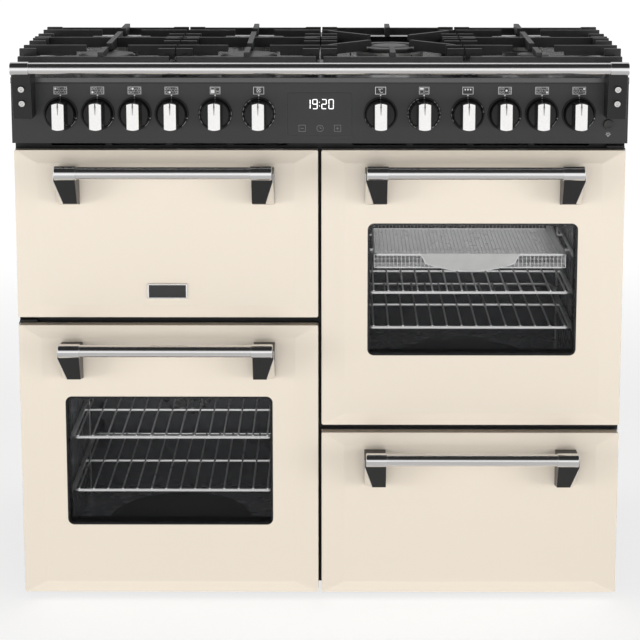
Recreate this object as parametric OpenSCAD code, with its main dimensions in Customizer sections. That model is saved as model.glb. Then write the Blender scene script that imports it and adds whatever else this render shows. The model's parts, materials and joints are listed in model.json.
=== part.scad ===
// Dual fuel range cooker with four fronts, seven gas burners and twelve knobs.
// X runs to the right, Y runs to the back and Z runs up.
// The origin is on the floor, under the middle of the whole cooker.
// Inside each module, Y is measured from the plane of the door fronts.

/* [Body] */
// Width over the side panels
body_w = 1000; // [980:1:1100]
// Depth from the door fronts to the back edge of the side panels
body_depth = 600; // [590:1:650]
// Height of the carcass base above the floor
base_z = 30; // [26:1:34]
// Thickness of the sheet steel
sheet = 1.5; // [1:0.1:2]
// Clearance between pieces that only lie against each other
fit_gap = 0.3; // [0.2:0.05:0.5]
// Radial running clearance of a shaft in its bore
run_gap = 0.05; // [0.02:0.01:0.1]

/* [Doors] */
// Height of the door bottoms above the floor
door_bottom = 22; // [20:1:24]
// Height of the two tall fronts
tall_h = 463; // [450:1:480]
// Height of the two low fronts
short_h = 279.5; // [272:0.5:290]
// Gap between a front and the one above it
row_gap = 13.2; // [12:0.1:16]
// Gap between the left and right fronts
centre_gap = 5.4; // [4:0.1:8]
// Gap between a front and the outside of the body
side_gap = 1.8; // [1.5:0.1:3]
// Thickness of a door
door_t = 36; // [35:0.5:38]
// Thickness of the inner panel of a door
liner_t = 12; // [11.5:0.1:13]
// Space between a closed door and the front frame
frame_gap = 3; // [2.5:0.1:4]
// How far the border of a front slopes back
bevel_depth = 5; // [3:0.5:7]
// Width of the sloping border at the sides
bevel_w = 38; // [30:1:45]
// Height of the sloping border at the top and bottom
bevel_h = 21; // [15:1:26]
// Width of a door window
window_w = 343; // [320:1:352]
// Height of a door window
window_h = 221; // [200:1:240]
// Corner radius of a door window
window_r = 10; // [6:1:16]
// Thickness of a glass pane
glass_t = 4; // [3:0.5:5]

/* [Handles] */
// Length of a handle over its end sleeves
handle_l = 348.8; // [320:1:380]
// Radius of a handle tube
handle_r = 10.1; // [8:0.1:11]
// Radius of the end sleeves
sleeve_r = 11.55; // [11.3:0.05:13]
// Length of an end sleeve
sleeve_l = 35; // [28:1:40]
// Distance from the door front to the handle axis
handle_out = 62; // [60:1:70]
// Distance from the top of the door down to the handle axis
handle_drop = 27.5; // [26:0.5:32]
// Width of a handle bracket at the door
leg_w = 35.5; // [30:0.5:40]
// Width of a handle bracket at its lower front edge
leg_tip_w = 23; // [18:0.5:28]
// Height of a handle bracket below the handle axis
leg_h = 61.5; // [50:0.5:66]

/* [Fascia] */
// Height of the ventilation gap under the fascia
vent_gap = 12; // [10:0.5:14]
// Height of the fascia
fascia_h = 97.9; // [94:0.1:104]
// Height of the knob axes above the lower edge of the fascia
knob_rise = 48.3; // [46:0.1:50]
// Radius of a knob at the fascia
knob_r = 27.5; // [25:0.5:28]
// Distance from the fascia to the front of a knob grip
knob_out = 42; // [38:0.5:44]
// Width of a knob grip
grip_w = 19.5; // [16:0.5:22]
// Height of a knob grip
grip_h = 45.5; // [40:0.5:48]
// Radius of a control spindle
spindle_r = 3; // [2.5:0.1:3.5]
// Width of the clock panel
clock_w = 104.6; // [96:0.1:110]
// Height of the clock panel
clock_h = 70.2; // [64:0.1:74]
// Radius of the light button
button_r = 8; // [6:0.5:9]
// Travel of the light button
button_travel = 2; // [1:0.5:3]

/* [Rail] */
// Radius of the front rail tube
rail_r = 9.5; // [8:0.1:10.5]
// Radius of the rail end sleeves
rail_sleeve_r = 10.75; // [10.6:0.05:12]
// Distance from the fascia to the rail axis
rail_out = 57; // [52:1:60]
// Height of the rail axis above the top of the fascia
rail_rise = 30.4; // [28:0.1:34]
// Distance from each end of the rail to the side of the body
rail_inset = 8; // [5:1:20]
// Width of a rail bracket
bracket_w = 31; // [26:1:36]
// Height of a rail bracket below the rail axis
bracket_h = 83; // [76:1:88]

/* [Hob] */
// Height of the front lip of the hob tray
lip_h = 9.4; // [8:0.1:12]
// Height of the pan support frames above the hob
support_h = 30.7; // [28:0.1:34]
// Height of the fingers above the pan support frames
finger_rise = 7; // [5:0.5:9]
// Distance from the door fronts to the front of the pan supports
support_y = 24; // [20:1:30]
// Depth of the strip behind the pan supports, where the flue trim stands
flue_space = 96; // [92:1:106]
// Width of the teeth along the sides of a pan support
tooth_w = 27; // [22:1:30]
// Thickness of the fingers and teeth
finger_t = 8; // [6:0.5:9]
// Distance of the front and rear burners from the middle of the supports
burner_step = 126; // [120:1:130]
// Radius of the gap that the fingers leave over a burner
finger_gap = 35; // [28:1:38]
// Radius of the largest single burner cap
cap_big_r = 47; // [42:0.5:48]
// Radius of a medium burner cap
cap_mid_r = 35; // [30:0.5:38]
// Radius of the small burner cap
cap_small_r = 26.5; // [22:0.5:28]
// Radius of the outer ring of the wok burner
wok_r = 62; // [56:1:66]
// Height of the burner cap tops above the hob
cap_top = 24; // [22:0.5:26]

/* [Ovens] */
// Space between an oven's inside wall and the side of its door
oven_side = 67.75; // [62:0.25:72]
// Space behind a fan chamber for the motor and its wiring
motor_space = 97; // [80:1:110]
// Depth of the fan chamber behind an oven
fan_d = 36; // [32:1:40]
// Height from a tall door's bottom edge to the oven floor
oven_rise = 53; // [50:1:56]
// Height inside a tall oven
oven_h = 365; // [350:1:375]
// Height from the low door's bottom edge to the grill oven floor
grill_rise = 37; // [35:1:40]
// Height inside the grill oven
grill_h = 210; // [200:1:215]
// Spacing of the rods in a shelf
rod_pitch = 24.7; // [22:0.1:28]
// Radius of the shelf frame wire
wire_r = 2.5; // [2:0.1:3]
// Height of the lower shelf in the left oven above its door's bottom edge
left_shelf_1 = 158.5; // [150:0.5:170]
// Height of the upper shelf in the left oven above its door's bottom edge
left_shelf_2 = 252; // [240:1:270]
// Height of the lower shelf in the right oven above its door's bottom edge
right_shelf_1 = 151.3; // [145:0.1:160]
// Height of the upper shelf in the right oven above its door's bottom edge
right_shelf_2 = 211.3; // [200:0.1:220]
// Height of the basket rim in the right oven above its door's bottom edge
right_basket = 276.3; // [265:0.1:285]
// Height of the shelf in the grill oven above its door's bottom edge
grill_shelf = 100; // [90:1:120]
// Radius of an oven fan
fan_r = 60; // [50:1:64]

/* [Drawer] */
// Space between the drawer box and the side of its front
drawer_side = 32.75; // [28:0.25:48]
// Space between the drawer box and the back panel
drawer_back = 58; // [40:1:78]
// Height of the drawer box
drawer_h = 185; // [160:1:190]
// Height from the drawer front's bottom edge to the box
drawer_rise = 28; // [26:1:34]
// How far the drawer pulls out
drawer_travel = 400; // [350:10:400]

/* [Hidden] */
$fn = 48;
soft_fn = 24;
wire_fn = 8;
half_w = body_w / 2;
door_w = (body_w - 2 * side_gap - centre_gap) / 2;
door_cx = (centre_gap + door_w) / 2;
upper_left_z = door_bottom + tall_h + row_gap;
upper_right_z = door_bottom + short_h + row_gap;
door_top = door_bottom + tall_h + row_gap + short_h;
skin_back = door_t - liner_t;
frame_y = door_t + frame_gap;
frame_t = 2;
oven_y = frame_y + frame_t;
fascia_z = door_top + vent_gap;
fascia_top = fascia_z + fascia_h;
hob_z = fascia_top + lip_h;
knob_z = fascia_z + knob_rise;
handle_reach = handle_out + sleeve_r;
door_face_y = (handle_reach - body_depth) / 2;
rail_z = fascia_top + rail_rise;
frame_top = hob_z + support_h;
finger_top = frame_top + finger_rise;
support_d = body_depth - support_y - flue_space;
support_cy = support_y + support_d / 2;
finger_low = hob_z + cap_top + 3;
finger_deep = finger_top - 17;

// Side hinges: the axis stands inside the inner panel of the door
pin_r = 3;
hinge_x = half_w - 6.5;
hinge_y = door_t - 7;
hinge_plate_t = 4.5;
hinge_plate_gap = 0.5;
shoe_h = 43;
shoe_w = 20;
shoe_out = 1.5;

// Drop-down hinge of the grill door
drop_y = 16;
drop_z = upper_left_z + 9;
drop_lug_r = 6.5;
drop_arm_r = 5.5;
drop_arm_w = 12;
drop_lug_t = 8;

// Back panel, set in from the back edge of the side panels
back_recess = 26;
back_y = body_depth - back_recess;

// Ovens and drawer box: what the doors and the back panel leave for them
oven_w = door_w - 2 * oven_side;
oven_d = back_y - motor_space - fan_d - oven_y;
drawer_w = door_w - 2 * drawer_side;
drawer_d = back_y - drawer_back - door_t;

// Arms of the drop-down door, in line with the oven's side walls
drop_arm_x = [-door_cx - oven_w / 2, -door_cx + oven_w / 2];

// Gas inlet, holes for a stability bracket and the cable entry, on the back
gas_r = 7;
inlet_thread_r = 10.45;
inlet_thread_l = 16;
inlet_side = 60;
inlet_x = -half_w + inlet_side;
inlet_z = knob_z;
brace_side = 300;
brace_x = [-half_w + brace_side, half_w - brace_side];
brace_z = 620;
brace_hole_r = 4;
cable_side = 170;
cable_x = half_w - cable_side;
cable_z = 640;
gland_r = 11;
gland_bore_r = 8.5;
gland_l = 16;

// Closed end of every sleeve
sleeve_cap = 3;

// Rail brackets and their screws
rail_l = body_w - 2 * rail_inset;
bracket_x = rail_l / 2 - 1 - bracket_w / 2;
bracket_lean = 17;
bracket_shoulder = 4;
screw_drops = [33.5, 57];
screw_r = 5;

// Middle of the clock's opening
clock_z = fascia_z + fascia_h / 2 - 1.5;

// Thickness of the burner caps and of the flange under each head
cap_t = 8;
head_flange_t = 2;

// Valves, switches and the light button
spindle_out = 22;
valve_back = 50;
valve_half = 13;
button_back = 6;
button_out = 4;

// Shelves
shelf_y = 70;
shelf_d = oven_d - 60;
shelf_half = oven_w / 2 - 8;
rod_r = 1.6;

// Front end of the fan hubs
fan_hub_y = oven_y + oven_d + 6;

// Drawer runners: fixed channels, and the strips of the drawer that slide in them
channel_h = 20;
channel_t = 2;
channel_depth = 12;
channel_gap = 0.5;
strip_w = 8;
strip_h = channel_h - 2 * channel_t - 2 * channel_gap;
drawer_z0 = door_bottom + drawer_rise;
channel_z = drawer_z0 + 100;
strip_z = channel_z + channel_t + channel_gap;

// Knob places, from left to right. The space that the clock, the knobs and the
// rail brackets leave is shared out before each knob in the parts of knob_parts.
knob_end = 53;
knob_parts = [18.8, 15.4, 15.7, 4.8, 5, 5];
knob_free = half_w - knob_end - clock_w / 2 - 2 * len(knob_parts) * knob_r;
function total(list, n) = n == 0 ? 0 : list[n - 1] + total(list, n - 1);
knob_half = [
    for (i = [0:len(knob_parts) - 1])
        clock_w / 2 + knob_free * total(knob_parts, i + 1) / total(knob_parts, len(knob_parts))
            + (2 * i + 1) * knob_r
];
knob_x = concat([for (i = [len(knob_half) - 1:-1:0]) -knob_half[i]], knob_half);
gas_knobs = [0, 1, 2, 3, 9, 10, 11];
switch_knobs = [4, 5, 6, 7, 8];
button_side = 32.3;
button_rise = 31.3;
button_x = half_w - button_side;
button_z = fascia_z + button_rise;
knob_gap = 0.5;

// Burner places: x, y, cap radius
outer_side = 143.5;
outer_bx = half_w - outer_side;
inner_bx = 119;
front_by = support_cy - burner_step;
rear_by = support_cy + burner_step;
single_burners = [
    [-outer_bx, front_by, cap_big_r],
    [-outer_bx, rear_by, cap_mid_r],
    [-inner_bx, front_by, cap_big_r],
    [-inner_bx, rear_by, cap_mid_r],
    [outer_bx, front_by, cap_small_r],
    [outer_bx, rear_by, cap_mid_r]
];
wok_at = [inner_bx, support_cy];
// Burner that each gas knob feeds, in the order of gas_knobs
fed_burners = [
    [-outer_bx, rear_by],
    [-outer_bx, front_by],
    [-inner_bx, rear_by],
    [-inner_bx, front_by],
    wok_at,
    [outer_bx, front_by],
    [outer_bx, rear_by]
];
cup_drop = 31;
feed_r = 4;
rail_pipe_y = valve_back + gas_r;
feed_z = hob_z - cup_drop - feed_r;

// Pan supports: the gaps between neighbours and the outer frame edges
support_gap = 2.4;
support_split = 238.6;
support_side = 4;
support_edge = half_w - support_side;

// Moves a piece from door-front coordinates to the cooker's own origin
module seat() {
    translate([0, door_face_y, 0]) children();
}

// Box from its low corner to its high corner
module span(low, high) {
    translate(low) cube(high - low);
}

// Cylinder along Y from y0 to y1
module along_y(x, z, r, y0, y1, fn = $fn) {
    translate([x, y0, z]) rotate([-90, 0, 0]) cylinder(h = y1 - y0, r = r, $fn = fn);
}

// Cylinder along X from x0 to x1
module along_x(y, z, r, x0, x1, fn = $fn) {
    translate([x0, y, z]) rotate([0, 90, 0]) cylinder(h = x1 - x0, r = r, $fn = fn);
}

// Flat outline with round corners, centred
module rounded(w, h, r) {
    square([w - 2 * r, h], center = true);
    square([w, h - 2 * r], center = true);
    for (x = [-1, 1], z = [-1, 1]) {
        translate([x * (w / 2 - r), z * (h / 2 - r)]) circle(r);
    }
}

// Upright slab with round corners between two planes across Y
module slab(cx, cz, w, h, r, y0, y1) {
    translate([cx, y1, cz]) rotate([90, 0, 0]) linear_extrude(y1 - y0) rounded(w, h, r);
}

// Straight rod between two points at the same height
module level_rod(a, b, z, r) {
    d = b - a;
    translate([a[0], a[1], z])
        rotate([0, 90, atan2(d[1], d[0])])
            cylinder(h = norm(d), r = r);
}

// Solid front with the sloping border, grown inwards by inset
module front_form(cx, z0, h, inset, back) {
    hull() {
        slab(cx, z0 + h / 2, door_w - 2 * inset, h - 2 * inset, 3, bevel_depth + inset, back, $fn = soft_fn);
        slab(cx, z0 + h / 2, door_w - 2 * bevel_w, h - 2 * bevel_h, 1, inset, bevel_depth, $fn = soft_fn);
    }
}

// Enamelled skin of a front
module front_skin(cx, z0, h) {
    difference() {
        front_form(cx, z0, h, 0, skin_back);
        front_form(cx, z0, h, sheet, skin_back + 1);
    }
}

module window_cut(cx, z0, h, y0, y1) {
    slab(cx, z0 + h / 2, window_w, window_h, window_r, y0, y1);
}

// Inner panel of a front: a shallow pan that is open towards the skin
module front_liner(cx, z0, h) {
    wall = 3;
    difference() {
        span([cx - door_w / 2, skin_back, z0], [cx + door_w / 2, door_t, z0 + h]);
        span(
            [cx - door_w / 2 + wall, skin_back - 1, z0 + wall],
            [cx + door_w / 2 - wall, door_t - sheet, z0 + h - wall]
        );
    }
}

// Hinge shoes of a side-hinged door, with the bores for its two pins
module side_hung_liner(side, z0) {
    cx = side * door_cx;
    axis_x = side * hinge_x;
    outer = side * (door_cx + door_w / 2 + shoe_out);
    difference() {
        union() {
            difference() {
                front_liner(cx, z0, tall_h);
                window_cut(cx, z0, tall_h, skin_back, door_t + 1);
            }
            for (z = [z0, z0 + tall_h - shoe_h]) {
                span(
                    [min(outer, outer - side * shoe_w), skin_back, z],
                    [max(outer, outer - side * shoe_w), door_t, z + shoe_h]
                );
            }
        }
        for (z = [z0 - 1, z0 + tall_h - shoe_h / 2]) {
            translate([axis_x, hinge_y, z])
                cylinder(h = shoe_h / 2 + 1, r = pin_r + run_gap);
        }
    }
}

// Two panes: one behind the skin, one in the inner panel
module door_panes(cx, z0) {
    lap = 14;
    slab(
        cx, z0 + tall_h / 2, window_w + 2 * lap, window_h + 2 * lap,
        window_r, sheet, sheet + glass_t
    );
    slab(
        cx, z0 + tall_h / 2, window_w + 2 * lap, window_h + 2 * lap,
        window_r, door_t - sheet - glass_t, door_t - sheet
    );
}

// Bracket leg of a handle; its upper end is a saddle for the sleeve.
// Its side towards the middle is upright and its outer side tapers.
module handle_leg(x, z, side) {
    lean = 22;
    tip_z = 53.5;
    shoulder = 12.5;
    tip_x = x - side * (leg_w - leg_tip_w) / 2;
    difference() {
        hull() {
            span([x - leg_w / 2, -handle_out, z - shoulder], [x + leg_w / 2, -1, z]);
            span(
                [tip_x - leg_tip_w / 2, -handle_out + lean, z - tip_z],
                [tip_x + leg_tip_w / 2, -1, z - shoulder]
            );
            span([x - leg_w / 2, -1, z - leg_h], [x + leg_w / 2, 0, z]);
        }
        along_x(-handle_out, z, sleeve_r + fit_gap / 3, x - leg_w, x + leg_w);
    }
}

// End sleeve of a tube along X, closed at its outer end
module end_sleeve(y, z, r, bore_r, outer, inner) {
    s = sign(outer - inner);
    difference() {
        along_x(y, z, r, min(outer, inner), max(outer, inner));
        along_x(y, z, bore_r, min(outer - s * sleeve_cap, inner - s), max(outer - s * sleeve_cap, inner - s));
    }
}

// Tube along X with a sleeve on each end
module sleeved_tube(cx, y, z, r, length, end_r, end_l) {
    half = length / 2;
    along_x(y, z, r, cx - half + sleeve_cap + run_gap, cx + half - sleeve_cap - run_gap);
    for (s = [-1, 1]) {
        end_sleeve(y, z, end_r, r + run_gap, cx + s * half, cx + s * (half - end_l));
    }
}

// Handle: tube, two end sleeves and two bracket legs
module handle(cx, door_z1) {
    z = door_z1 - handle_drop;
    overhang = 2.25;
    sleeved_tube(cx, -handle_out, z, handle_r, handle_l, sleeve_r, sleeve_l);
    for (s = [-1, 1]) {
        handle_leg(cx + s * (handle_l / 2 - leg_w / 2 + overhang), z, s);
    }
}

// Rotary knob: a cone skirt with a grip bar across it, bored for its spindle
module knob(i) {
    x = knob_x[i];
    skirt = 13;
    foot_t = 3;
    foot_step = 2;
    skirt_taper = 3;
    grip_round = 3;
    grip_root = 2;
    grip_taper = 4;
    bore_past = 2;
    color([0.07, 0.07, 0.07]) seat() difference() {
        union() {
            translate([x, -knob_gap, knob_z])
                rotate([90, 0, 0])
                    cylinder(h = foot_t, r = knob_r);
            translate([x, -knob_gap - foot_t, knob_z])
                rotate([90, 0, 0])
                    cylinder(
                        h = skirt - foot_t,
                        r1 = knob_r - foot_step, r2 = knob_r - foot_step - skirt_taper
                    );
            hull() {
                slab(
                    x, knob_z, grip_w, grip_h, grip_round,
                    -skirt - grip_root, -skirt + 1, $fn = soft_fn
                );
                slab(
                    x, knob_z, grip_w - grip_taper, grip_h - grip_taper / 2, grip_round,
                    -knob_out, -knob_out + 2, $fn = soft_fn
                );
            }
        }
        along_y(x, knob_z, spindle_r + run_gap, -spindle_out - bore_past, 1);
    }
}

module carcass_panels() {
    top = fascia_top;
    color([0.1, 0.1, 0.1]) seat() {
        for (s = [-1, 1]) {
            outer = s * half_w;
            inner = s * (half_w - sheet);
            span([min(outer, inner), frame_y, base_z], [max(outer, inner), body_depth, top]);
        }
        span([-half_w + sheet, oven_y, base_z], [half_w - sheet, back_y, base_z + sheet]);
    }
}

module back_panel() {
    slot_w = 60;
    slot_h = 8;
    low_row = 60;
    high_row = 40;
    side_space = 140;
    inlet_clear = 3;
    slot_step = 90;
    slots = floor((half_w - side_space) / slot_step);
    color([0.72, 0.73, 0.74]) seat() difference() {
        span(
            [-half_w + sheet, back_y, base_z],
            [half_w - sheet, back_y + sheet, fascia_top]
        );
        for (i = [-slots:slots], z = [base_z + low_row, fascia_top - high_row]) {
            slab(i * slot_step, z, slot_w, slot_h, slot_h / 2 - 0.1, back_y - 1, back_y + sheet + 1);
        }
        along_y(inlet_x, inlet_z, gas_r + inlet_clear, back_y - 1, back_y + sheet + 1);
        for (x = brace_x) {
            along_y(x, brace_z, brace_hole_r, back_y - 1, back_y + sheet + 1);
        }
        along_y(cable_x, cable_z, gland_bore_r, back_y - 1, back_y + sheet + 1);
    }
}

module levelling_feet() {
    side_in = 60;
    front_in = 90;
    back_in = 50;
    pad_r = 19;
    pad_t = 6;
    stem_r = 5;
    nut_r = 12;
    nut_h = 8;
    color([0.3, 0.3, 0.3]) seat() for (x = [-1, 1], y = [front_in, back_y - back_in]) {
        translate([x * (half_w - side_in), y, 0]) {
            cylinder(h = pad_t, r = pad_r);
            cylinder(h = base_z - nut_h, r = stem_r);
            translate([0, 0, base_z - nut_h]) cylinder(h = nut_h, r = nut_r, $fn = 6);
        }
    }
}

// Oven mouths and drawer mouth: centre x, low z, height
function oven_mouths() = [
    [-door_cx, upper_left_z + grill_rise, grill_h],
    [-door_cx, door_bottom + oven_rise, oven_h],
    [door_cx, upper_right_z + oven_rise, oven_h]
];

module front_frame() {
    slot_step = 99.5;
    slot_w = 90;
    slot_h = 7;
    first_slot = 98;
    mouth_over = 8;
    drawer_mouth = 12;
    color([0.05, 0.05, 0.05]) seat() difference() {
        span([-half_w + sheet, frame_y, base_z], [half_w - sheet, oven_y, fascia_z]);
        for (m = oven_mouths()) {
            span([m[0] - oven_w / 2, frame_y - 1, m[1]], [m[0] + oven_w / 2, oven_y + 1, m[1] + m[2]]);
        }
        span(
            [door_cx - drawer_w / 2 - drawer_mouth, frame_y - 1, door_bottom + drawer_rise - mouth_over],
            [
                door_cx + drawer_w / 2 + drawer_mouth, oven_y + 1,
                door_bottom + drawer_rise + drawer_h + mouth_over
            ]
        );
        for (s = [-1, 1], i = [0:3]) {
            slab(
                s * (first_slot + i * slot_step), door_top + vent_gap / 2,
                slot_w, slot_h, slot_h / 2 - 0.5, frame_y - 1, oven_y + 1
            );
        }
    }
}

module hob_tray() {
    head_seat = 8;
    wok_seat = 12;
    cut = 5;
    color([0.05, 0.05, 0.05]) seat() {
        difference() {
            span([-half_w, 0, fascia_top], [half_w, body_depth, hob_z]);
            span(
                [-half_w + sheet, sheet, fascia_top - 1],
                [half_w - sheet, body_depth - sheet, hob_z - sheet]
            );
            for (b = single_burners) {
                translate([b[0], b[1], hob_z - cut]) cylinder(h = 2 * cut, r = b[2] - head_seat);
            }
            translate([wok_at[0], wok_at[1], hob_z - cut]) cylinder(h = 2 * cut, r = wok_r - wok_seat);
        }
        rear_vent();
    }
}

// Slotted flue trim along the back of the hob
module rear_vent() {
    vent_h = 13;
    support_space = 10;
    vent_y = support_y + support_d + support_space;
    edge_in = 2;
    side_space = 80;
    slot_rows = [25, 45];
    slot_d = 8;
    slot_half = 22;
    slot_step = 60;
    slots = floor((half_w - side_space) / slot_step);
    difference() {
        span([-half_w + edge_in, vent_y, hob_z], [half_w - edge_in, body_depth - edge_in, hob_z + vent_h]);
        span(
            [-half_w + edge_in + sheet, vent_y + sheet, hob_z - 1],
            [half_w - edge_in - sheet, body_depth - edge_in - sheet, hob_z + vent_h - sheet]
        );
        for (i = [-slots:slots], row = slot_rows) {
            span(
                [i * slot_step - slot_half, vent_y + row, hob_z],
                [i * slot_step + slot_half, vent_y + row + slot_d, hob_z + vent_h + 1]
            );
        }
    }
}

module fascia() {
    edge = 3.5;
    color([0.23, 0.23, 0.23]) seat() difference() {
        span([-half_w + 0.5, 0, fascia_z], [half_w - 0.5, frame_y, fascia_top]);
        span(
            [-half_w + 0.5 + edge, sheet, fascia_z + sheet],
            [half_w - 0.5 - edge, frame_y + 1, fascia_top - sheet]
        );
        for (x = knob_x) {
            along_y(x, knob_z, spindle_r + 1.5, -1, sheet + 1);
        }
        along_y(button_x, button_z, button_r + fit_gap, -1, sheet + 1);
        slab(0, clock_z, clock_w, clock_h, 2, -1, sheet + 1);
    }
}

module clock_panel() {
    board_side = 5;
    board_above = 4;
    board_back = 24;
    color([0.12, 0.12, 0.13]) seat() {
        slab(0, clock_z, clock_w - 0.4, clock_h - 0.4, 2, -0.5, sheet);
        span(
            [-clock_w / 2 - board_side, sheet, clock_z - clock_h / 2 - board_above],
            [clock_w / 2 + board_side, board_back, clock_z + clock_h / 2 + board_above]
        );
    }
}

module front_rail() {
    sleeve = 30;
    color([0.8, 0.8, 0.8]) seat() {
        sleeved_tube(0, -rail_out, rail_z, rail_r, rail_l, rail_sleeve_r, sleeve);
    }
}

// Distance of a bracket's front face from the fascia at a drop below the rail axis
function bracket_front(drop) =
    rail_out - bracket_lean * (drop - bracket_shoulder) / (bracket_h - bracket_shoulder);

module rail_brackets() {
    foot = 1;
    color([0.12, 0.12, 0.12]) seat() for (s = [-1, 1]) {
        x = s * bracket_x;
        difference() {
            hull() {
                span(
                    [x - bracket_w / 2, -rail_out, rail_z - bracket_shoulder],
                    [x + bracket_w / 2, 0, rail_z]
                );
                span(
                    [x - bracket_w / 2, -rail_out + bracket_lean, rail_z - bracket_h],
                    [x + bracket_w / 2, 0, rail_z - bracket_h + foot]
                );
            }
            along_x(-rail_out, rail_z, rail_sleeve_r + fit_gap / 3, x - bracket_w, x + bracket_w);
        }
    }
}

module bracket_screws() {
    head_h = 3.5;
    socket_r = 2.4;
    socket_z = 1;
    color([0.75, 0.75, 0.75]) seat() for (s = [-1, 1], drop = screw_drops) {
        face = bracket_front(drop);
        lean = atan(bracket_lean / (bracket_h - bracket_shoulder));
        translate([s * bracket_x, -face, rail_z - drop])
            rotate([90 + lean, 0, 0])
                difference() {
                    cylinder(h = head_h, r = screw_r);
                    translate([0, 0, socket_z]) cylinder(h = head_h, r = socket_r, $fn = 6);
                }
    }
}

// Spark electrode or flame sensor beside a flame ring
module electrode(turn, reach) {
    body_r = 3;
    body_h = 8;
    tip_r = 1.2;
    tip_h = 14;
    rotate(turn) translate([reach, 0, 0]) {
        cylinder(h = body_h, r = body_r);
        cylinder(h = tip_h, r = tip_r);
    }
}

// Burner head: flange, flame ring and the cup below the hob
module burner_head(at, r) {
    flange_over = 2;
    neck_in = 7;
    neck_h = 11;
    seat_in = 4;
    cup_in = 9;
    cup_max = 30;
    electrode_out = 6;
    translate([at[0], at[1], hob_z]) {
        cylinder(h = head_flange_t, r = r + flange_over);
        cylinder(h = neck_h, r = r - neck_in);
        translate([0, 0, neck_h]) cylinder(h = cap_top - cap_t - neck_h, r = r - seat_in);
        translate([0, 0, -cup_drop]) cylinder(h = cup_drop, r = min(r - cup_in, cup_max));
        for (turn = [150, 25]) {
            electrode(turn, r + electrode_out);
        }
    }
}

module burner_heads() {
    flange_over = 6;
    seat_in = 5;
    cup_in = 13;
    electrode_out = 10;
    color([0.62, 0.63, 0.64]) seat() {
        for (b = single_burners) {
            burner_head([b[0], b[1]], b[2]);
        }
        translate([wok_at[0], wok_at[1], hob_z]) {
            cylinder(h = head_flange_t, r = wok_r + flange_over);
            cylinder(h = cap_top - cap_t, r = wok_r - seat_in);
            translate([0, 0, -cup_drop]) cylinder(h = cup_drop, r = wok_r - cup_in);
            for (turn = [200, 250, 300]) {
                electrode(turn, wok_r + electrode_out);
            }
        }
    }
}

module burner_caps() {
    edge_h = 2;
    edge_in = 3;
    hub_dome_h = 3;
    hub_dome_in = 6;
    wok_hub_r = 34;
    wok_ring_in = 41;
    color([0.2, 0.2, 0.2]) seat() {
        for (b = single_burners) {
            translate([b[0], b[1], hob_z + cap_top - cap_t]) {
                cylinder(h = cap_t - edge_h, r = b[2]);
                translate([0, 0, cap_t - edge_h]) cylinder(h = edge_h, r1 = b[2], r2 = b[2] - edge_in);
            }
        }
        translate([wok_at[0], wok_at[1], hob_z + cap_top - cap_t]) {
            difference() {
                union() {
                    cylinder(h = cap_t - edge_h, r = wok_r);
                    translate([0, 0, cap_t - edge_h]) cylinder(h = edge_h, r1 = wok_r, r2 = wok_r - edge_in);
                }
                translate([0, 0, -1]) cylinder(h = cap_t + 2, r = wok_ring_in);
            }
            cylinder(h = cap_t - edge_h, r = wok_hub_r);
            translate([0, 0, cap_t - edge_h])
                cylinder(h = hub_dome_h, r1 = wok_hub_r, r2 = wok_hub_r - hub_dome_in);
        }
    }
}

module gas_rail() {
    thread_y = back_y + sheet + 0.5;
    pipe_wall = 2;
    corner = gas_r + pipe_wall;
    elbow_wall = 1.5;
    elbow = feed_r + elbow_wall;
    rail_past = 15;
    tap_in = 12;
    bore_in = 20;
    color([0.68, 0.62, 0.42]) seat() {
        difference() {
            union() {
                along_x(rail_pipe_y, knob_z, gas_r, inlet_x, knob_x[11] + rail_past);
                span(
                    [inlet_x - corner, rail_pipe_y - gas_r, inlet_z - corner],
                    [inlet_x + corner, rail_pipe_y + corner, inlet_z + corner]
                );
                along_y(inlet_x, inlet_z, gas_r, rail_pipe_y, thread_y);
                along_y(inlet_x, inlet_z, inlet_thread_r, thread_y, thread_y + inlet_thread_l);
            }
            along_y(inlet_x, inlet_z, gas_r - pipe_wall, back_y - bore_in, body_depth + 1);
        }
        for (i = [0:len(gas_knobs) - 1]) {
            a = [knob_x[gas_knobs[i]], valve_back - tap_in];
            translate([a[0], a[1], knob_z + valve_half])
                cylinder(h = feed_z - knob_z - valve_half, r = feed_r);
            span(
                [a[0] - elbow, a[1] - elbow, feed_z - elbow],
                [a[0] + elbow, a[1] + elbow, feed_z + elbow]
            );
            level_rod(a, fed_burners[i], feed_z, feed_r);
        }
    }
}

// One valve or switch body with its bush and spindle
module control_body(x, back) {
    bush_r = 9;
    bush_end = 12;
    along_y(x, knob_z, spindle_r, -spindle_out, sheet + 1, $fn);
    along_y(x, knob_z, bush_r, sheet, bush_end, $fn);
    span(
        [x - valve_half, bush_end, knob_z - valve_half],
        [x + valve_half, back, knob_z + valve_half]
    );
}

module control_valves() {
    switch_gap = 3;
    switch_w = 12;
    switch_h = 10;
    tab_t = 3;
    color([0.66, 0.6, 0.4]) seat() {
        for (i = gas_knobs) {
            control_body(knob_x[i], valve_back);
        }
        for (i = switch_knobs) {
            control_body(knob_x[i], valve_back - switch_gap);
        }
        // Switch behind the light button
        span(
            [button_x - switch_w, button_back + button_travel + fit_gap, button_z - switch_h],
            [button_x + switch_w, frame_y - 1, button_z + switch_h]
        );
        span(
            [button_x - switch_w, sheet, button_z + switch_h],
            [button_x + switch_w, frame_y - 1, button_z + switch_h + tab_t]
        );
    }
}

module light_button() {
    color([0.1, 0.1, 0.1]) seat() {
        along_y(button_x, button_z, button_r, -button_out, button_back);
    }
}

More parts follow.
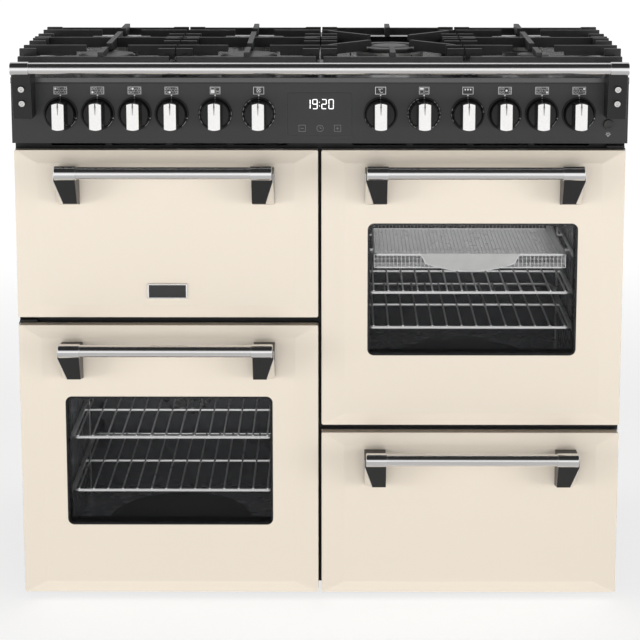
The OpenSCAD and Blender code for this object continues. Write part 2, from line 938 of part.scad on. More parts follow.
// Sheet liner of an oven, open at the front, with a flange behind the frame
module oven_liner(mouth, with_fan) {
    cx = mouth[0];
    z0 = mouth[1];
    h = mouth[2];
    depth = with_fan ? oven_d + fan_d : oven_d;
    flange = 10;
    shaft_clear = 2;
    difference() {
        union() {
            span(
                [cx - oven_w / 2 - sheet, oven_y, z0 - sheet],
                [cx + oven_w / 2 + sheet, oven_y + depth + sheet, z0 + h + sheet]
            );
            span(
                [cx - oven_w / 2 - flange, oven_y, z0 - flange],
                [cx + oven_w / 2 + flange, oven_y + sheet, z0 + h + flange]
            );
        }
        span(
            [cx - oven_w / 2, oven_y - 1, z0],
            [cx + oven_w / 2, oven_y + oven_d - sheet, z0 + h]
        );
        if (with_fan) {
            span(
                [cx - oven_w / 2, oven_y + oven_d, z0],
                [cx + oven_w / 2, oven_y + depth, z0 + h]
            );
            baffle_holes(cx, z0 + h / 2);
            along_y(cx, z0 + h / 2, spindle_r + shaft_clear, oven_y + depth - 1, oven_y + depth + sheet + 1);
        }
    }
}

// Air holes in the baffle in front of an oven fan
module baffle_holes(cx, cz) {
    slot_in = 20;
    slot_step = 34;
    slot_w = 8;
    slot_h = 22;
    y0 = oven_y + oven_d - sheet - 1;
    y1 = oven_y + oven_d + 1;
    for (ring = [[8, 22, 6], [14, 42, 7]], i = [0:ring[0] - 1]) {
        a = 360 * i / ring[0];
        along_y(cx + ring[1] * cos(a), cz + ring[1] * sin(a), ring[2], y0, y1);
    }
    for (x = [-1, 1], i = [-3:3]) {
        slab(cx + x * (oven_w / 2 - slot_in), cz + i * slot_step, slot_w, slot_h, slot_w / 2 - 0.1, y0, y1);
    }
}

module grill_oven_liner() {
    color([0.15, 0.15, 0.16]) seat() oven_liner(oven_mouths()[0], false);
}

module left_oven_liner() {
    color([0.15, 0.15, 0.16]) seat() oven_liner(oven_mouths()[1], true);
}

module right_oven_liner() {
    color([0.15, 0.15, 0.16]) seat() oven_liner(oven_mouths()[2], true);
}

// Wire shelf: a rectangle of frame wire with rods laid along Y
module shelf(cx, z) {
    rods = floor(shelf_half / rod_pitch + 0.5);
    for (y = [shelf_y, shelf_y + shelf_d]) {
        along_x(y, z, wire_r, cx - shelf_half, cx + shelf_half, wire_fn);
    }
    for (s = [-1, 1]) {
        along_y(cx + s * (shelf_half - wire_r), z, wire_r, shelf_y, shelf_y + shelf_d, wire_fn);
    }
    for (i = [-rods + 0.5:rods - 0.5]) {
        along_y(cx + i * rod_pitch, z + wire_r, rod_r, shelf_y - 1, shelf_y + shelf_d + 1, wire_fn);
    }
    along_x(shelf_y + shelf_d / 2, z, wire_r, cx - shelf_half, cx + shelf_half, wire_fn);
}

module oven_shelves() {
    color([0.75, 0.75, 0.75]) seat() {
        shelf(-door_cx, door_bottom + left_shelf_1);
        shelf(-door_cx, door_bottom + left_shelf_2);
        shelf(door_cx, upper_right_z + right_shelf_1);
        shelf(door_cx, upper_right_z + right_shelf_2);
        shelf(-door_cx, upper_left_z + grill_shelf);
    }
}

// Side ladder: pairs of rails that carry a shelf, on two uprights
module ladder(cx, z0, z1, levels) {
    rail_wire = 2;
    wall_space = 4;
    upright_in = 20;
    rail_x = oven_w / 2 - rail_wire - wall_space;
    for (s = [-1, 1]) {
        x = cx + s * rail_x;
        for (y = [shelf_y + upright_in, shelf_y + shelf_d - upright_in]) {
            translate([x + s * 2 * rail_wire, y, z0]) {
                cylinder(h = z1 - z0, r = rail_wire, $fn = wire_fn);
            }
        }
        for (z = levels) {
            along_y(x, z - wire_r - rail_wire, rail_wire, shelf_y, shelf_y + shelf_d, wire_fn);
            along_y(x + s * 1.5, z - wire_r - rail_wire, rail_wire, shelf_y, shelf_y + shelf_d, wire_fn);
        }
    }
}

module shelf_runners() {
    roof_gap = 20;
    grill_roof_gap = 30;
    spare_step = 93;
    left_z = door_bottom + left_shelf_2;
    color([0.72, 0.72, 0.72]) seat() {
        ladder(
            -door_cx, door_bottom + oven_rise, door_bottom + oven_rise + oven_h - roof_gap,
            [door_bottom + left_shelf_1, left_z, left_z + spare_step]
        );
        ladder(
            door_cx, upper_right_z + oven_rise, upper_right_z + oven_rise + oven_h - roof_gap,
            [upper_right_z + right_shelf_1, upper_right_z + right_shelf_2, upper_right_z + right_basket]
        );
        ladder(
            -door_cx, upper_left_z + grill_rise, upper_left_z + grill_rise + grill_h - grill_roof_gap,
            [upper_left_z + grill_shelf]
        );
    }
}

module air_fry_basket() {
    z = upper_right_z + right_basket;
    drop = 22;
    side_in = 12;
    half = shelf_half - side_in;
    wing_in = 40;
    cells_x = 14;
    cells_y = 12;
    plate_t = 2;
    plate_over = 3;
    shoulder_w = 6;
    shoulder_h = 5;
    mesh_r = 1;
    plate_w = 172;
    plate_h = 30;
    plate_foot = 74;
    plate_sag = 13;
    color([0.72, 0.72, 0.72]) seat() {
        for (level = [z, z - drop]) {
            edge_r = level == z ? wire_r : mesh_r + 0.5;
            for (y = [shelf_y, shelf_y + shelf_d]) {
                along_x(y, level, edge_r, door_cx - half, door_cx + half, wire_fn);
            }
            for (s = [-1, 1]) {
                along_y(door_cx + s * half, level, edge_r, shelf_y, shelf_y + shelf_d, wire_fn);
            }
        }
        // Side wings that hang the basket on the runners
        for (s = [-1, 1], y = [shelf_y + wing_in, shelf_y + shelf_d / 2, shelf_y + shelf_d - wing_in]) {
            along_x(y, z, wire_r, door_cx + s * (half + 6) - 7, door_cx + s * (half + 6) + 5.5, wire_fn);
        }
        for (i = [0:cells_x]) {
            x = door_cx - half + 2 * half * i / cells_x;
            along_y(x, z - drop, mesh_r, shelf_y, shelf_y + shelf_d, 6);
            for (y = [shelf_y, shelf_y + shelf_d]) {
                translate([x, y, z - drop]) cylinder(h = drop, r = mesh_r, $fn = 6);
            }
        }
        for (i = [0:cells_y]) {
            y = shelf_y + shelf_d * i / cells_y;
            along_x(y, z - drop, mesh_r, door_cx - half, door_cx + half, 6);
            for (s = [-1, 1]) {
                translate([door_cx + s * half, y, z - drop]) cylinder(h = drop, r = mesh_r, $fn = 6);
            }
        }
        // Front plate for the fingers: steep sides above a shallow curve
        translate([door_cx, shelf_y - 1, z + plate_over]) rotate([90, 0, 0]) linear_extrude(plate_t) {
            polygon([
                for (i = [-6:6]) [plate_foot * i / 6, -plate_h + plate_sag * pow(i / 6, 2)],
                [plate_w / 2 - shoulder_w, -shoulder_h],
                [plate_w / 2, 0],
                [-plate_w / 2, 0],
                [-plate_w / 2 + shoulder_w, -shoulder_h]
            ]);
        }
    }
}

// Ring heater around a fan, and the loop heater under the roof of the grill oven
module heating_elements() {
    ring_space = 18;
    ring_r = fan_r + ring_space;
    tube = 3.5;
    ring_y = oven_y + oven_d + fan_d / 2;
    roof_space = 24;
    grill_z = upper_left_z + grill_rise + grill_h - roof_space;
    front_in = 40;
    front_y = oven_y + front_in;
    strap_in = 80;
    strap_below = 2;
    hanger_half = 2;
    leg_x = 14;
    bars = 3;
    bar_step = 42;
    strap_half = 130;
    strap_w = 8;
    hanger_x = 105;
    color([0.25, 0.24, 0.23]) seat() {
        for (m = [oven_mouths()[1], oven_mouths()[2]]) {
            translate([m[0], ring_y, m[1] + m[2] / 2])
                rotate([90, 0, 0])
                    rotate_extrude() translate([ring_r, 0]) circle(tube, $fn = 16);
            for (x = [-leg_x, leg_x]) {
                along_y(m[0] + x, m[1] + m[2] / 2 - ring_r, tube, ring_y, oven_y + oven_d + fan_d, 16);
            }
        }
        for (i = [-bars:bars]) {
            along_y(-door_cx + i * bar_step, grill_z, tube, front_y, oven_y + oven_d - sheet, 16);
        }
        for (i = [-bars:2:bars - 2]) {
            along_x(front_y, grill_z, tube, -door_cx + i * bar_step, -door_cx + (i + 1) * bar_step, 16);
        }
        for (y = [oven_y + strap_in, oven_y + oven_d - strap_in]) {
            span(
                [-door_cx - strap_half, y, grill_z - tube - strap_below],
                [-door_cx + strap_half, y + strap_w, grill_z - tube + 0.5]
            );
            for (s = [-1, 1]) {
                span(
                    [-door_cx + s * hanger_x - hanger_half, y, grill_z - tube],
                    [-door_cx + s * hanger_x + hanger_half, y + strap_w, upper_left_z + grill_rise + grill_h]
                );
            }
        }
    }
}

module fan_motors() {
    back = oven_y + oven_d + fan_d + sheet;
    motor_r = 28;
    motor_l = 42;
    boss_r = 20;
    boss_l = 8;
    color([0.45, 0.46, 0.48]) seat() for (m = [oven_mouths()[1], oven_mouths()[2]]) {
        cz = m[1] + m[2] / 2;
        along_y(m[0], cz, spindle_r, fan_hub_y, back);
        along_y(m[0], cz, motor_r, back, back + motor_l);
        along_y(m[0], cz, boss_r, back + motor_l, back + motor_l + boss_l);
    }
}

// Oven fan: a hub bored for the motor shaft, a disc and radial blades
module oven_fan(m) {
    cz = m[1] + m[2] / 2;
    blades = 10;
    hub_r = 9;
    hub_y = 1;
    hub_end = 23;
    disc_in = 6;
    disc_y = 20;
    disc_t = 1.5;
    blade_in = 8;
    blade_y = 3;
    blade_half = 0.8;
    color([0.6, 0.6, 0.6]) seat() difference() {
        union() {
            along_y(m[0], cz, hub_r, fan_hub_y + hub_y, fan_hub_y + hub_end);
            along_y(m[0], cz, fan_r - disc_in, fan_hub_y + disc_y, fan_hub_y + disc_y + disc_t);
            for (i = [0:blades - 1]) {
                translate([m[0], 0, cz]) rotate([0, 360 * i / blades, 0])
                    span(
                        [blade_in, fan_hub_y + blade_y, -blade_half],
                        [fan_r, fan_hub_y + disc_y + 0.5, blade_half]
                    );
            }
        }
        along_y(m[0], cz, spindle_r + run_gap, fan_hub_y - 1, fan_hub_y + hub_end + 1);
    }
}

module terminal_box() {
    box_w = 90;
    box_h = 80;
    below = 20;
    bore_in = 24;
    gland_y = (back_y + sheet + body_depth - 1) / 2;
    color([0.12, 0.12, 0.12]) seat() difference() {
        union() {
            span(
                [cable_x - box_w / 2, back_y + sheet, cable_z - below],
                [cable_x + box_w / 2, body_depth - 1, cable_z - below + box_h]
            );
            translate([cable_x, gland_y, cable_z - below - gland_l])
                cylinder(h = gland_l, r = gland_r);
        }
        translate([cable_x, gland_y, cable_z - below - gland_l - 1])
            cylinder(h = gland_l + 1 + bore_in, r = gland_bore_r);
    }
}

module drawer_runners() {
    overrun = 20;
    end_y = oven_y + drawer_d + overrun;
    top_z = channel_z + channel_h;
    stand_t = 3;
    stand_l = 30;
    side_gap = 2;
    color([0.7, 0.7, 0.7]) seat() for (s = [-1, 1]) {
        translate([door_cx + s * (drawer_w / 2 + side_gap), 0, 0]) {
            inner = s > 0 ? 0 : -channel_depth;
            outer = s > 0 ? channel_depth : 0;
            difference() {
                span([inner, oven_y, channel_z], [outer, end_y, top_z]);
                span(
                    [s > 0 ? -1 : inner + channel_t, oven_y - 1, channel_z + channel_t],
                    [s > 0 ? outer - channel_t : 1, end_y + 1, top_z - channel_t]
                );
            }
            // Stand that joins the far end of the channel to the base
            back = s * channel_depth;
            span(
                [min(back, back + s * stand_t), end_y - stand_l, base_z + sheet],
                [max(back, back + s * stand_t), end_y, top_z]
            );
        }
    }
}

module drawer_box() {
    low = [door_cx - drawer_w / 2, door_t, drawer_z0];
    high = [door_cx + drawer_w / 2, door_t + drawer_d, drawer_z0 + drawer_h];
    strip_in = 4;
    color([0.6, 0.61, 0.62]) seat() {
        difference() {
            union() {
                front_liner(door_cx, door_bottom, short_h);
                span(low, high);
                for (s = [-1, 1]) {
                    side = door_cx + s * drawer_w / 2;
                    span(
                        [min(side, side + s * strip_w), oven_y + strip_in, strip_z],
                        [max(side, side + s * strip_w), door_t + drawer_d, strip_z + strip_h]
                    );
                }
            }
            span(low + [sheet, 0.01, sheet], high + [-sheet, -sheet, 1]);
        }
    }
}

module door_seals() {
    bar = 8;
    lap = 4;
    corner = 6;
    color([0.2, 0.2, 0.2]) seat() for (m = oven_mouths()) {
        cz = m[1] + m[2] / 2;
        difference() {
            slab(
                m[0], cz, oven_w + 2 * (lap + bar), m[2] + 2 * (lap + bar), 2 * corner,
                door_t + fit_gap, frame_y
            );
            slab(m[0], cz, oven_w + 2 * lap, m[2] + 2 * lap, corner, door_t, frame_y + 1);
        }
    }
}

// Plates with pins for the side-hung doors, and arms with pins for the grill door
module hinge_plates() {
    plate_w = 29;
    plate_in = 2;
    pin_l = 18;
    arm_half = 3;
    nose = 7;
    color([0.08, 0.08, 0.08]) seat() {
        for (door = [[-1, door_bottom], [1, upper_right_z]]) {
            s = door[0];
            outer = s * (half_w - plate_in);
            inner = s * (half_w - plate_in - plate_w);
            lower = door[1] - hinge_plate_gap - hinge_plate_t;
            upper = door[1] + tall_h + hinge_plate_gap;
            for (z = [lower, upper]) {
                span([min(outer, inner), hinge_y - nose, z], [max(outer, inner), frame_y, z + hinge_plate_t]);
            }
            translate([s * hinge_x, hinge_y, lower]) cylinder(h = hinge_plate_t + pin_l, r = pin_r);
            translate([s * hinge_x, hinge_y, upper - pin_l]) cylinder(h = hinge_plate_t + pin_l, r = pin_r);
        }
        // Strut from the lowest plate up to the front frame
        span(
            [-half_w + plate_in, frame_y, door_bottom - hinge_plate_gap - hinge_plate_t],
            [-half_w + plate_in + plate_w, oven_y, base_z]
        );
        for (x = drop_arm_x) {
            along_x(drop_y, drop_z, drop_arm_r, x - drop_arm_w / 2, x + drop_arm_w / 2);
            span(
                [x - drop_arm_w / 2, drop_y, drop_z - arm_half],
                [x + drop_arm_w / 2, frame_y, drop_z + arm_half]
            );
            along_x(drop_y, drop_z, pin_r, x - drop_arm_w / 2 - drop_lug_t, x + drop_arm_w / 2 + drop_lug_t);
        }
    }
}

// Space that a drop-down hinge arm sweeps inside the door
module arm_sweep(x) {
    wide = drop_arm_w + 1;
    reach = 30;
    along_x(drop_y, drop_z, drop_arm_r + 0.5, x - wide / 2, x + wide / 2);
    span(
        [x - wide / 2, drop_y - drop_arm_r - 0.5, upper_left_z - 1],
        [x + wide / 2, drop_y + reach, drop_z + drop_arm_r + 0.5]
    );
}

module grill_door_skin() {
    color([0.94, 0.9, 0.83]) seat() difference() {
        front_skin(-door_cx, upper_left_z, short_h);
        for (x = drop_arm_x) {
            arm_sweep(x);
        }
    }
}

module grill_door_liner() {
    pin_cut = 20;
    color([0.3, 0.3, 0.31]) seat() difference() {
        union() {
            front_liner(-door_cx, upper_left_z, short_h);
            for (x = drop_arm_x, s = [-1, 1]) {
                inner = x + s * (drop_arm_w / 2 + 0.5);
                outer = inner + s * drop_lug_t;
                along_x(drop_y, drop_z, drop_lug_r, min(inner, outer), max(inner, outer));
                span(
                    [min(inner, outer), drop_y, drop_z - drop_lug_r],
                    [max(inner, outer), door_t - sheet, drop_z + drop_lug_r]
                );
            }
        }
        for (x = drop_arm_x) {
            arm_sweep(x);
            along_x(drop_y, drop_z, pin_r + run_gap, x - pin_cut, x + pin_cut);
        }
    }
}

module name_plate() {
    plate_w = 65.5;
    plate_h = 25.6;
    plate_t = 2.5;
    plate_round = 2;
    plate_rise = 45.5;
    color([0.7, 0.7, 0.7]) seat() {
        slab(-door_cx, upper_left_z + plate_rise, plate_w, plate_h, plate_round, -plate_t, 0);
    }
}

module grill_door_handle() {
    color([0.75, 0.75, 0.75]) seat() handle(-door_cx, upper_left_z + short_h);
}

module left_door_skin() {
    color([0.94, 0.9, 0.83]) seat() difference() {
        front_skin(-door_cx, door_bottom, tall_h);
        window_cut(-door_cx, door_bottom, tall_h, -1, skin_back);
    }
}

module left_door_glass() {
    color([0.1, 0.1, 0.1]) seat() door_panes(-door_cx, door_bottom);
}

module left_door_liner() {
    color([0.3, 0.3, 0.31]) seat() side_hung_liner(-1, door_bottom);
}

module left_door_handle() {
    color([0.75, 0.75, 0.75]) seat() handle(-door_cx, door_bottom + tall_h);
}

module right_door_skin() {
    color([0.94, 0.9, 0.83]) seat() difference() {
        front_skin(door_cx, upper_right_z, tall_h);
        window_cut(door_cx, upper_right_z, tall_h, -1, skin_back);
    }
}

module right_door_glass() {
    color([0.1, 0.1, 0.1]) seat() door_panes(door_cx, upper_right_z);
}

module right_door_liner() {
    color([0.3, 0.3, 0.31]) seat() side_hung_liner(1, upper_right_z);
}

module right_door_handle() {
    color([0.75, 0.75, 0.75]) seat() handle(door_cx, upper_right_z + tall_h);
}

module drawer_front() {
    color([0.94, 0.9, 0.83]) seat() front_skin(door_cx, door_bottom, short_h);
}

module drawer_handle() {
    color([0.75, 0.75, 0.75]) seat() handle(door_cx, door_bottom + short_h);
}

module knob_rear_left() { knob(0); }
module knob_front_left() { knob(1); }
module knob_rear_centre() { knob(2); }
module knob_front_centre() { knob(3); }
module knob_left_oven() { knob(4); }
module knob_function() { knob(5); }
module knob_temperature() { knob(6); }
module knob_grill_oven() { knob(7); }
module knob_grill() { knob(8); }
module knob_wok() { knob(9); }
module knob_front_right() { knob(10); }
module knob_rear_right() { knob(11); }

// Frame of a pan support between x0 and x1, with its teeth and feet
module support_frame(x0, x1) {
    y0 = support_y;
    y1 = support_y + support_d;
    bar = 10;
    bar_h = 13;
    bar_z = frame_top - bar_h;
    side_in = 8;
    side_drop = 4;
    tooth_lift = 2;
    tooth_out = 5;
    teeth = [-178, -burner_step, -58, -13, 13, 58, burner_step, 178];
    for (y = [y0, y1 - bar]) {
        span([x0 + tooth_out, y, bar_z], [x1 - tooth_out, y + bar, frame_top]);
    }
    for (side = [[x0, 1], [x1, -1]]) {
        x = side[0];
        s = side[1];
        a = x + s * side_in;
        b = a + s * bar;
        span([min(a, b), y0, bar_z], [max(a, b), y1, frame_top - side_drop]);
        for (t = teeth) {
            span(
                [min(x, x + s * tooth_w), support_cy + t - finger_t / 2, bar_z + tooth_lift],
                [max(x, x + s * tooth_w), support_cy + t + finger_t / 2, finger_top]
            );
        }
        for (y = [y0 + 1, y1 - bar]) {
            translate([a + s * bar / 2, y + bar / 2, hob_z]) cylinder(h = bar_z - hob_z + 1, r = bar / 2);
        }
    }
}

// Pan support over two single burners
module two_burner_support(x0, x1, bx) {
    tip_in = 7;
    tip = finger_gap - tip_in;
    front_in = 2;
    y0 = support_y + front_in;
    cap_clear = 5;
    y1 = support_y + support_d;
    wide = finger_t + 1;
    in = 6;
    support_frame(x0, x1);
    difference() {
        union() {
            span(
                [x0 + in, support_cy - finger_t / 2, finger_deep],
                [x1 - in, support_cy + finger_t / 2, finger_top]
            );
            for (y = [front_by, rear_by]) {
                for (part = [[x0 + in, bx - finger_gap], [bx + finger_gap, x1 - in]]) {
                    span([part[0], y - finger_t / 2, finger_deep], [part[1], y + finger_t / 2, finger_top]);
                }
            }
            span([bx - wide / 2, y0, finger_deep], [bx + wide / 2, front_by - tip, finger_top]);
            span([bx - wide / 2, front_by + tip, finger_deep], [bx + wide / 2, rear_by - tip, finger_top]);
            span([bx - wide / 2, rear_by + tip, finger_deep], [bx + wide / 2, y1, finger_top]);
        }
        for (y = [front_by, rear_by]) {
            translate([bx, y, hob_z]) cylinder(h = finger_low - hob_z, r = cap_big_r + cap_clear);
        }
    }
}

// Pan support over the wok burner: four slanted fingers and two short ones
module wok_support(x0, x1) {
    wide = finger_t + 1;
    in = 12;
    root_y = 118;
    tip_y = 42;
    front_in = 2;
    front_l = 90;
    rear_l = 70;
    cap_clear = 5;
    support_frame(x0, x1);
    difference() {
        union() {
            for (s = [-1, 1], t = [-1, 1]) {
                a = [s > 0 ? x1 - in : x0 + in, support_cy + t * root_y];
                b = [inner_bx + s * finger_gap, support_cy + t * tip_y];
                d = b - a;
                translate([a[0], a[1], finger_deep])
                    rotate([0, 0, atan2(d[1], d[0])])
                        translate([0, -finger_t / 2, 0])
                            cube([norm(d), finger_t, finger_top - finger_deep]);
            }
            span(
                [inner_bx - wide / 2, support_y + front_in, finger_deep],
                [inner_bx + wide / 2, support_y + front_in + front_l, finger_top]
            );
            span(
                [inner_bx - wide / 2, support_y + support_d - rear_l, finger_deep],
                [inner_bx + wide / 2, support_y + support_d, finger_top]
            );
        }
        translate([wok_at[0], wok_at[1], hob_z]) cylinder(h = finger_low - hob_z, r = wok_r + cap_clear);
    }
}

module pan_support_left() {
    x1 = -support_split - support_gap / 2;
    color([0.2, 0.2, 0.2]) seat() two_burner_support(-support_edge, x1, -outer_bx);
}

module pan_support_centre_left() {
    x0 = -support_split + support_gap / 2;
    color([0.2, 0.2, 0.2]) seat() two_burner_support(x0, -support_gap / 2, -inner_bx);
}

module pan_support_wok() {
    color([0.2, 0.2, 0.2]) seat() wok_support(support_gap / 2, support_split - support_gap / 2);
}

module pan_support_right() {
    color([0.2, 0.2, 0.2]) seat() two_burner_support(support_split + support_gap / 2, support_edge, outer_bx);
}

module left_oven_fan() { oven_fan(oven_mouths()[1]); }
module right_oven_fan() { oven_fan(oven_mouths()[2]); }

carcass_panels();
back_panel();
levelling_feet();
front_frame();
hob_tray();
fascia();
front_rail();
rail_brackets();
bracket_screws();
clock_panel();
burner_heads();
burner_caps();
gas_rail();
control_valves();
grill_oven_liner();
left_oven_liner();
right_oven_liner();
oven_shelves();
shelf_runners();
air_fry_basket();
heating_elements();
fan_motors();
terminal_box();
drawer_runners();
door_seals();
hinge_plates();
grill_door_skin();
grill_door_liner();
name_plate();
grill_door_handle();
left_door_skin();
left_door_glass();
left_door_liner();
left_door_handle();
right_door_skin();
right_door_glass();
right_door_liner();
right_door_handle();
drawer_front();
drawer_box();
drawer_handle();
knob_rear_left();
knob_front_left();
knob_rear_centre();
knob_front_centre();
knob_left_oven();
knob_function();
knob_temperature();
knob_grill_oven();
knob_grill();
knob_wok();
knob_front_right();
knob_rear_right();
light_button();
pan_support_left();
pan_support_centre_left();
pan_support_wok();
pan_support_right();
left_oven_fan();
right_oven_fan();
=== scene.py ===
# %% [markdown]
# # A dual fuel range cooker, dressed for a product photograph
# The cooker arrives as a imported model: sixty plain solids in one shared frame, with X to the
# right, Y to the back and Z up, in metres. This lesson keeps every solid where it is and gives
# the cooker its looks: rounded edges, finer forms where the plain ones are too simple, and
# a node-based finish on every surface.

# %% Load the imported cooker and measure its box
import json
import math
import bmesh
import bpy
from mathutils import Matrix, Vector


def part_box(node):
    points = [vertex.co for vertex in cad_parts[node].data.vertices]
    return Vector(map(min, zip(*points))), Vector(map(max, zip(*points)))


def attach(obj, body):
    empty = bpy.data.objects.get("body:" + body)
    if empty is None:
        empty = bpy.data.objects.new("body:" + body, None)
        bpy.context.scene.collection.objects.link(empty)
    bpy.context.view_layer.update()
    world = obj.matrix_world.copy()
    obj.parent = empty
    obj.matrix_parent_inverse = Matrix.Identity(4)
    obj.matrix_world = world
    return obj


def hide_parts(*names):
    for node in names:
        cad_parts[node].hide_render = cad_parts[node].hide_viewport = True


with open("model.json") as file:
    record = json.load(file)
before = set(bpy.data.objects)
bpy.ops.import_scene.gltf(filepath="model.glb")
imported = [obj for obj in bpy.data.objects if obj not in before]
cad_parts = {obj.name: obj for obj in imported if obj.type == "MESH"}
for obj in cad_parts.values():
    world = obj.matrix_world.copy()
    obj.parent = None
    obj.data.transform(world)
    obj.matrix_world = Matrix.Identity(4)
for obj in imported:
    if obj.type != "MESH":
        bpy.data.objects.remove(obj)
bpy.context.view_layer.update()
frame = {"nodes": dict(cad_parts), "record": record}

# %% [markdown]
# ## Lengths and places
# Only sizes that no solid holds, such as the radius of an eased edge, are written as numbers,
# in millimetres times `mm`.

# %% Helpers for places
mm = 0.001
bodies = frame["record"]["behaviour"]["bodies"]


def home(node):
    """Name of the body that a CAD node belongs to."""
    return next(name for name, nodes in bodies.items() if node in nodes)


def middle(node):
    """Centre of a CAD node's box."""
    low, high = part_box(node)
    return (low + high) / 2


def extent(node):
    """Width, depth and height of a CAD node's box."""
    low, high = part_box(node)
    return high - low


face_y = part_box("left_door_skin")[0].y
hob_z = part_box("hob_tray")[1].z - 13 * mm
print("door fronts at y", round(face_y, 4), "hob at z", round(hob_z, 4))

# %% [markdown]
# ## Writing node trees as expressions
# A material or a Geometry Nodes tree is a graph, but its maths reads best as a formula. `Wire`
# wraps one output socket, so `1 - mask * 0.5` adds the Math nodes by itself. `Graph.add` is the
# one way in for every other node: its type, its settings and what goes into its sockets.

# %% A wire with arithmetic, and a graph that makes nodes


class Wire:
    """One output of a node. Operators on it add Math nodes to the same graph."""

    def __init__(self, graph, socket):
        self.graph = graph
        self.socket = socket

    def maths(self, operation, *others):
        return self.graph.maths(operation, self, *others)

    def __add__(self, other):
        return self.maths("ADD", other)

    __radd__ = __add__

    def __sub__(self, other):
        return self.maths("SUBTRACT", other)

    def __rsub__(self, other):
        return self.graph.maths("SUBTRACT", other, self)

    def __mul__(self, other):
        return self.maths("MULTIPLY", other)

    __rmul__ = __mul__

    def __abs__(self):
        return self.maths("ABSOLUTE")


class Graph:
    """A node tree that takes nodes as type, settings and sockets."""

    def __init__(self, tree):
        self.tree = tree

    def add(self, kind, settings=None, sockets=None, out=0):
        node = self.tree.nodes.new(kind)
        for name, value in (settings or {}).items():
            if name == "stops":
                self.set_stops(node.color_ramp, value)
            else:
                setattr(node, name, value)
        for key, value in (sockets or {}).items():
            if isinstance(value, Wire):
                self.tree.links.new(value.socket, node.inputs[key])
            else:
                node.inputs[key].default_value = value
        return Wire(self, node.outputs[out]) if len(node.outputs) else None

    @staticmethod
    def set_stops(ramp, stops):
        while len(ramp.elements) < len(stops):
            ramp.elements.new(1.0)
        for element, (place, colour) in zip(ramp.elements, stops):
            element.position = place
            element.color = colour

    def maths(self, operation, *values):
        return self.add("ShaderNodeMath", {"operation": operation}, dict(enumerate(values)))

    def step(self, value, start, end):
        """0 where value is below start, 1 above end, and a straight ramp between them."""
        return self.add("ShaderNodeMapRange", None, {0: value, 1: start, 2: end, 3: 0.0, 4: 1.0})


print("graph helpers ready")

# %% [markdown]
# ## Finishes
# Each finish is one Principled shader whose colour, roughness or normal varies over the surface.
# The patterns read Object coordinates in metres, so a grain of half a millimetre is the same
# size on a knob and on a side panel, and it doesn't slide when a door opens.


# %% A finish: one Principled shader and its pattern helpers
def grey(value):
    return (value, value, value, 1.0)


class Finish(Graph):
    """A material built from one Principled shader."""

    def __init__(self, name, colour, roughness, metallic=0.0):
        self.material = bpy.data.materials.new(name)
        self.material.use_nodes = True
        super().__init__(self.material.node_tree)
        self.tree.nodes.clear()
        self.shader = self.tree.nodes.new("ShaderNodeBsdfPrincipled")
        self.output = self.tree.nodes.new("ShaderNodeOutputMaterial")
        self.tree.links.new(self.shader.outputs[0], self.output.inputs[0])
        self.colour = (*colour, 1.0)
        self.set("Base Color", self.colour)
        self.set("Roughness", roughness)
        self.set("Metallic", metallic)
        self.place = self.add("ShaderNodeTexCoord", out="Object")

    def set(self, socket, value):
        if isinstance(value, Wire):
            self.tree.links.new(value.socket, self.shader.inputs[socket])
        else:
            self.shader.inputs[socket].default_value = value

    def along(self, axis):
        """Object coordinate along axis 0, 1 or 2, in metres."""
        return self.add("ShaderNodeSeparateXYZ", None, {0: self.place}, out=axis)

    def cloud(self, size, stretch=(1, 1, 1), detail=2.0):
        """Soft noise from 0 to 1 whose blotches are about size metres across."""
        place = self.add("ShaderNodeMapping", None, {"Vector": self.place, "Scale": stretch})
        return self.add("ShaderNodeTexNoise", None, {"Vector": place, "Scale": 1 / size, "Detail": detail})

    def blend(self, first, second, share):
        """Colour that goes from first to second as share goes from 0 to 1."""
        return self.add("ShaderNodeMix", {"data_type": "RGBA"}, {0: share, 6: first, 7: second}, out=2)

    def relief(self, height, depth):
        """Drives the normal from a height of 0 to 1 that stands depth metres proud."""
        bump = {"Height": height, "Distance": depth, "Strength": 1.0}
        self.set("Normal", self.add("ShaderNodeBump", None, bump))

    def shades(self, darker, size):
        """Lets the base colour drift towards a darker tone in soft blotches."""
        tone = (*[c * darker for c in self.colour[:3]], 1.0)
        self.set("Base Color", self.blend(self.colour, tone, self.cloud(size)))

    def uneven_gloss(self, low, high, size):
        """Roughness between low and high in soft blotches."""
        self.set("Roughness", self.cloud(size) * (high - low) + low)


print("finish helpers ready")

# %% [markdown]
# ### Enamel and paint
# The fronts are cream vitreous enamel: glossy, almost even, with the faint orange peel that
# enamel keeps after firing. The hob is the same glass in black. The fascia is a satin paint and
# the casing a powder coat, whose fine grain scatters the light.


# %% Enamel and paint
def surface(name, colour, roughness, metallic=0.0, drift=None, gloss=None, skin=None, specular=None):
    """Finish with a drift (darker, size), a gloss (low, high, size) and a skin (size, depth)."""
    finish = Finish(name, colour, roughness, metallic)
    if specular is not None:
        finish.set("Specular IOR Level", specular)
    if drift:
        finish.shades(*drift)
    if gloss:
        finish.uneven_gloss(*gloss)
    if skin:
        size, depth = skin
        finish.relief(finish.cloud(size), depth)
    return finish


def speckle(finish, scale, size, tone):
    """Scatters paler dots over the base colour."""
    speck = finish.add("ShaderNodeTexVoronoi", None, {"Vector": finish.place, "Scale": scale})
    dots = 1 - finish.step(speck, size, size + 0.06)
    finish.set("Base Color", finish.blend(finish.colour, grey(tone), dots))


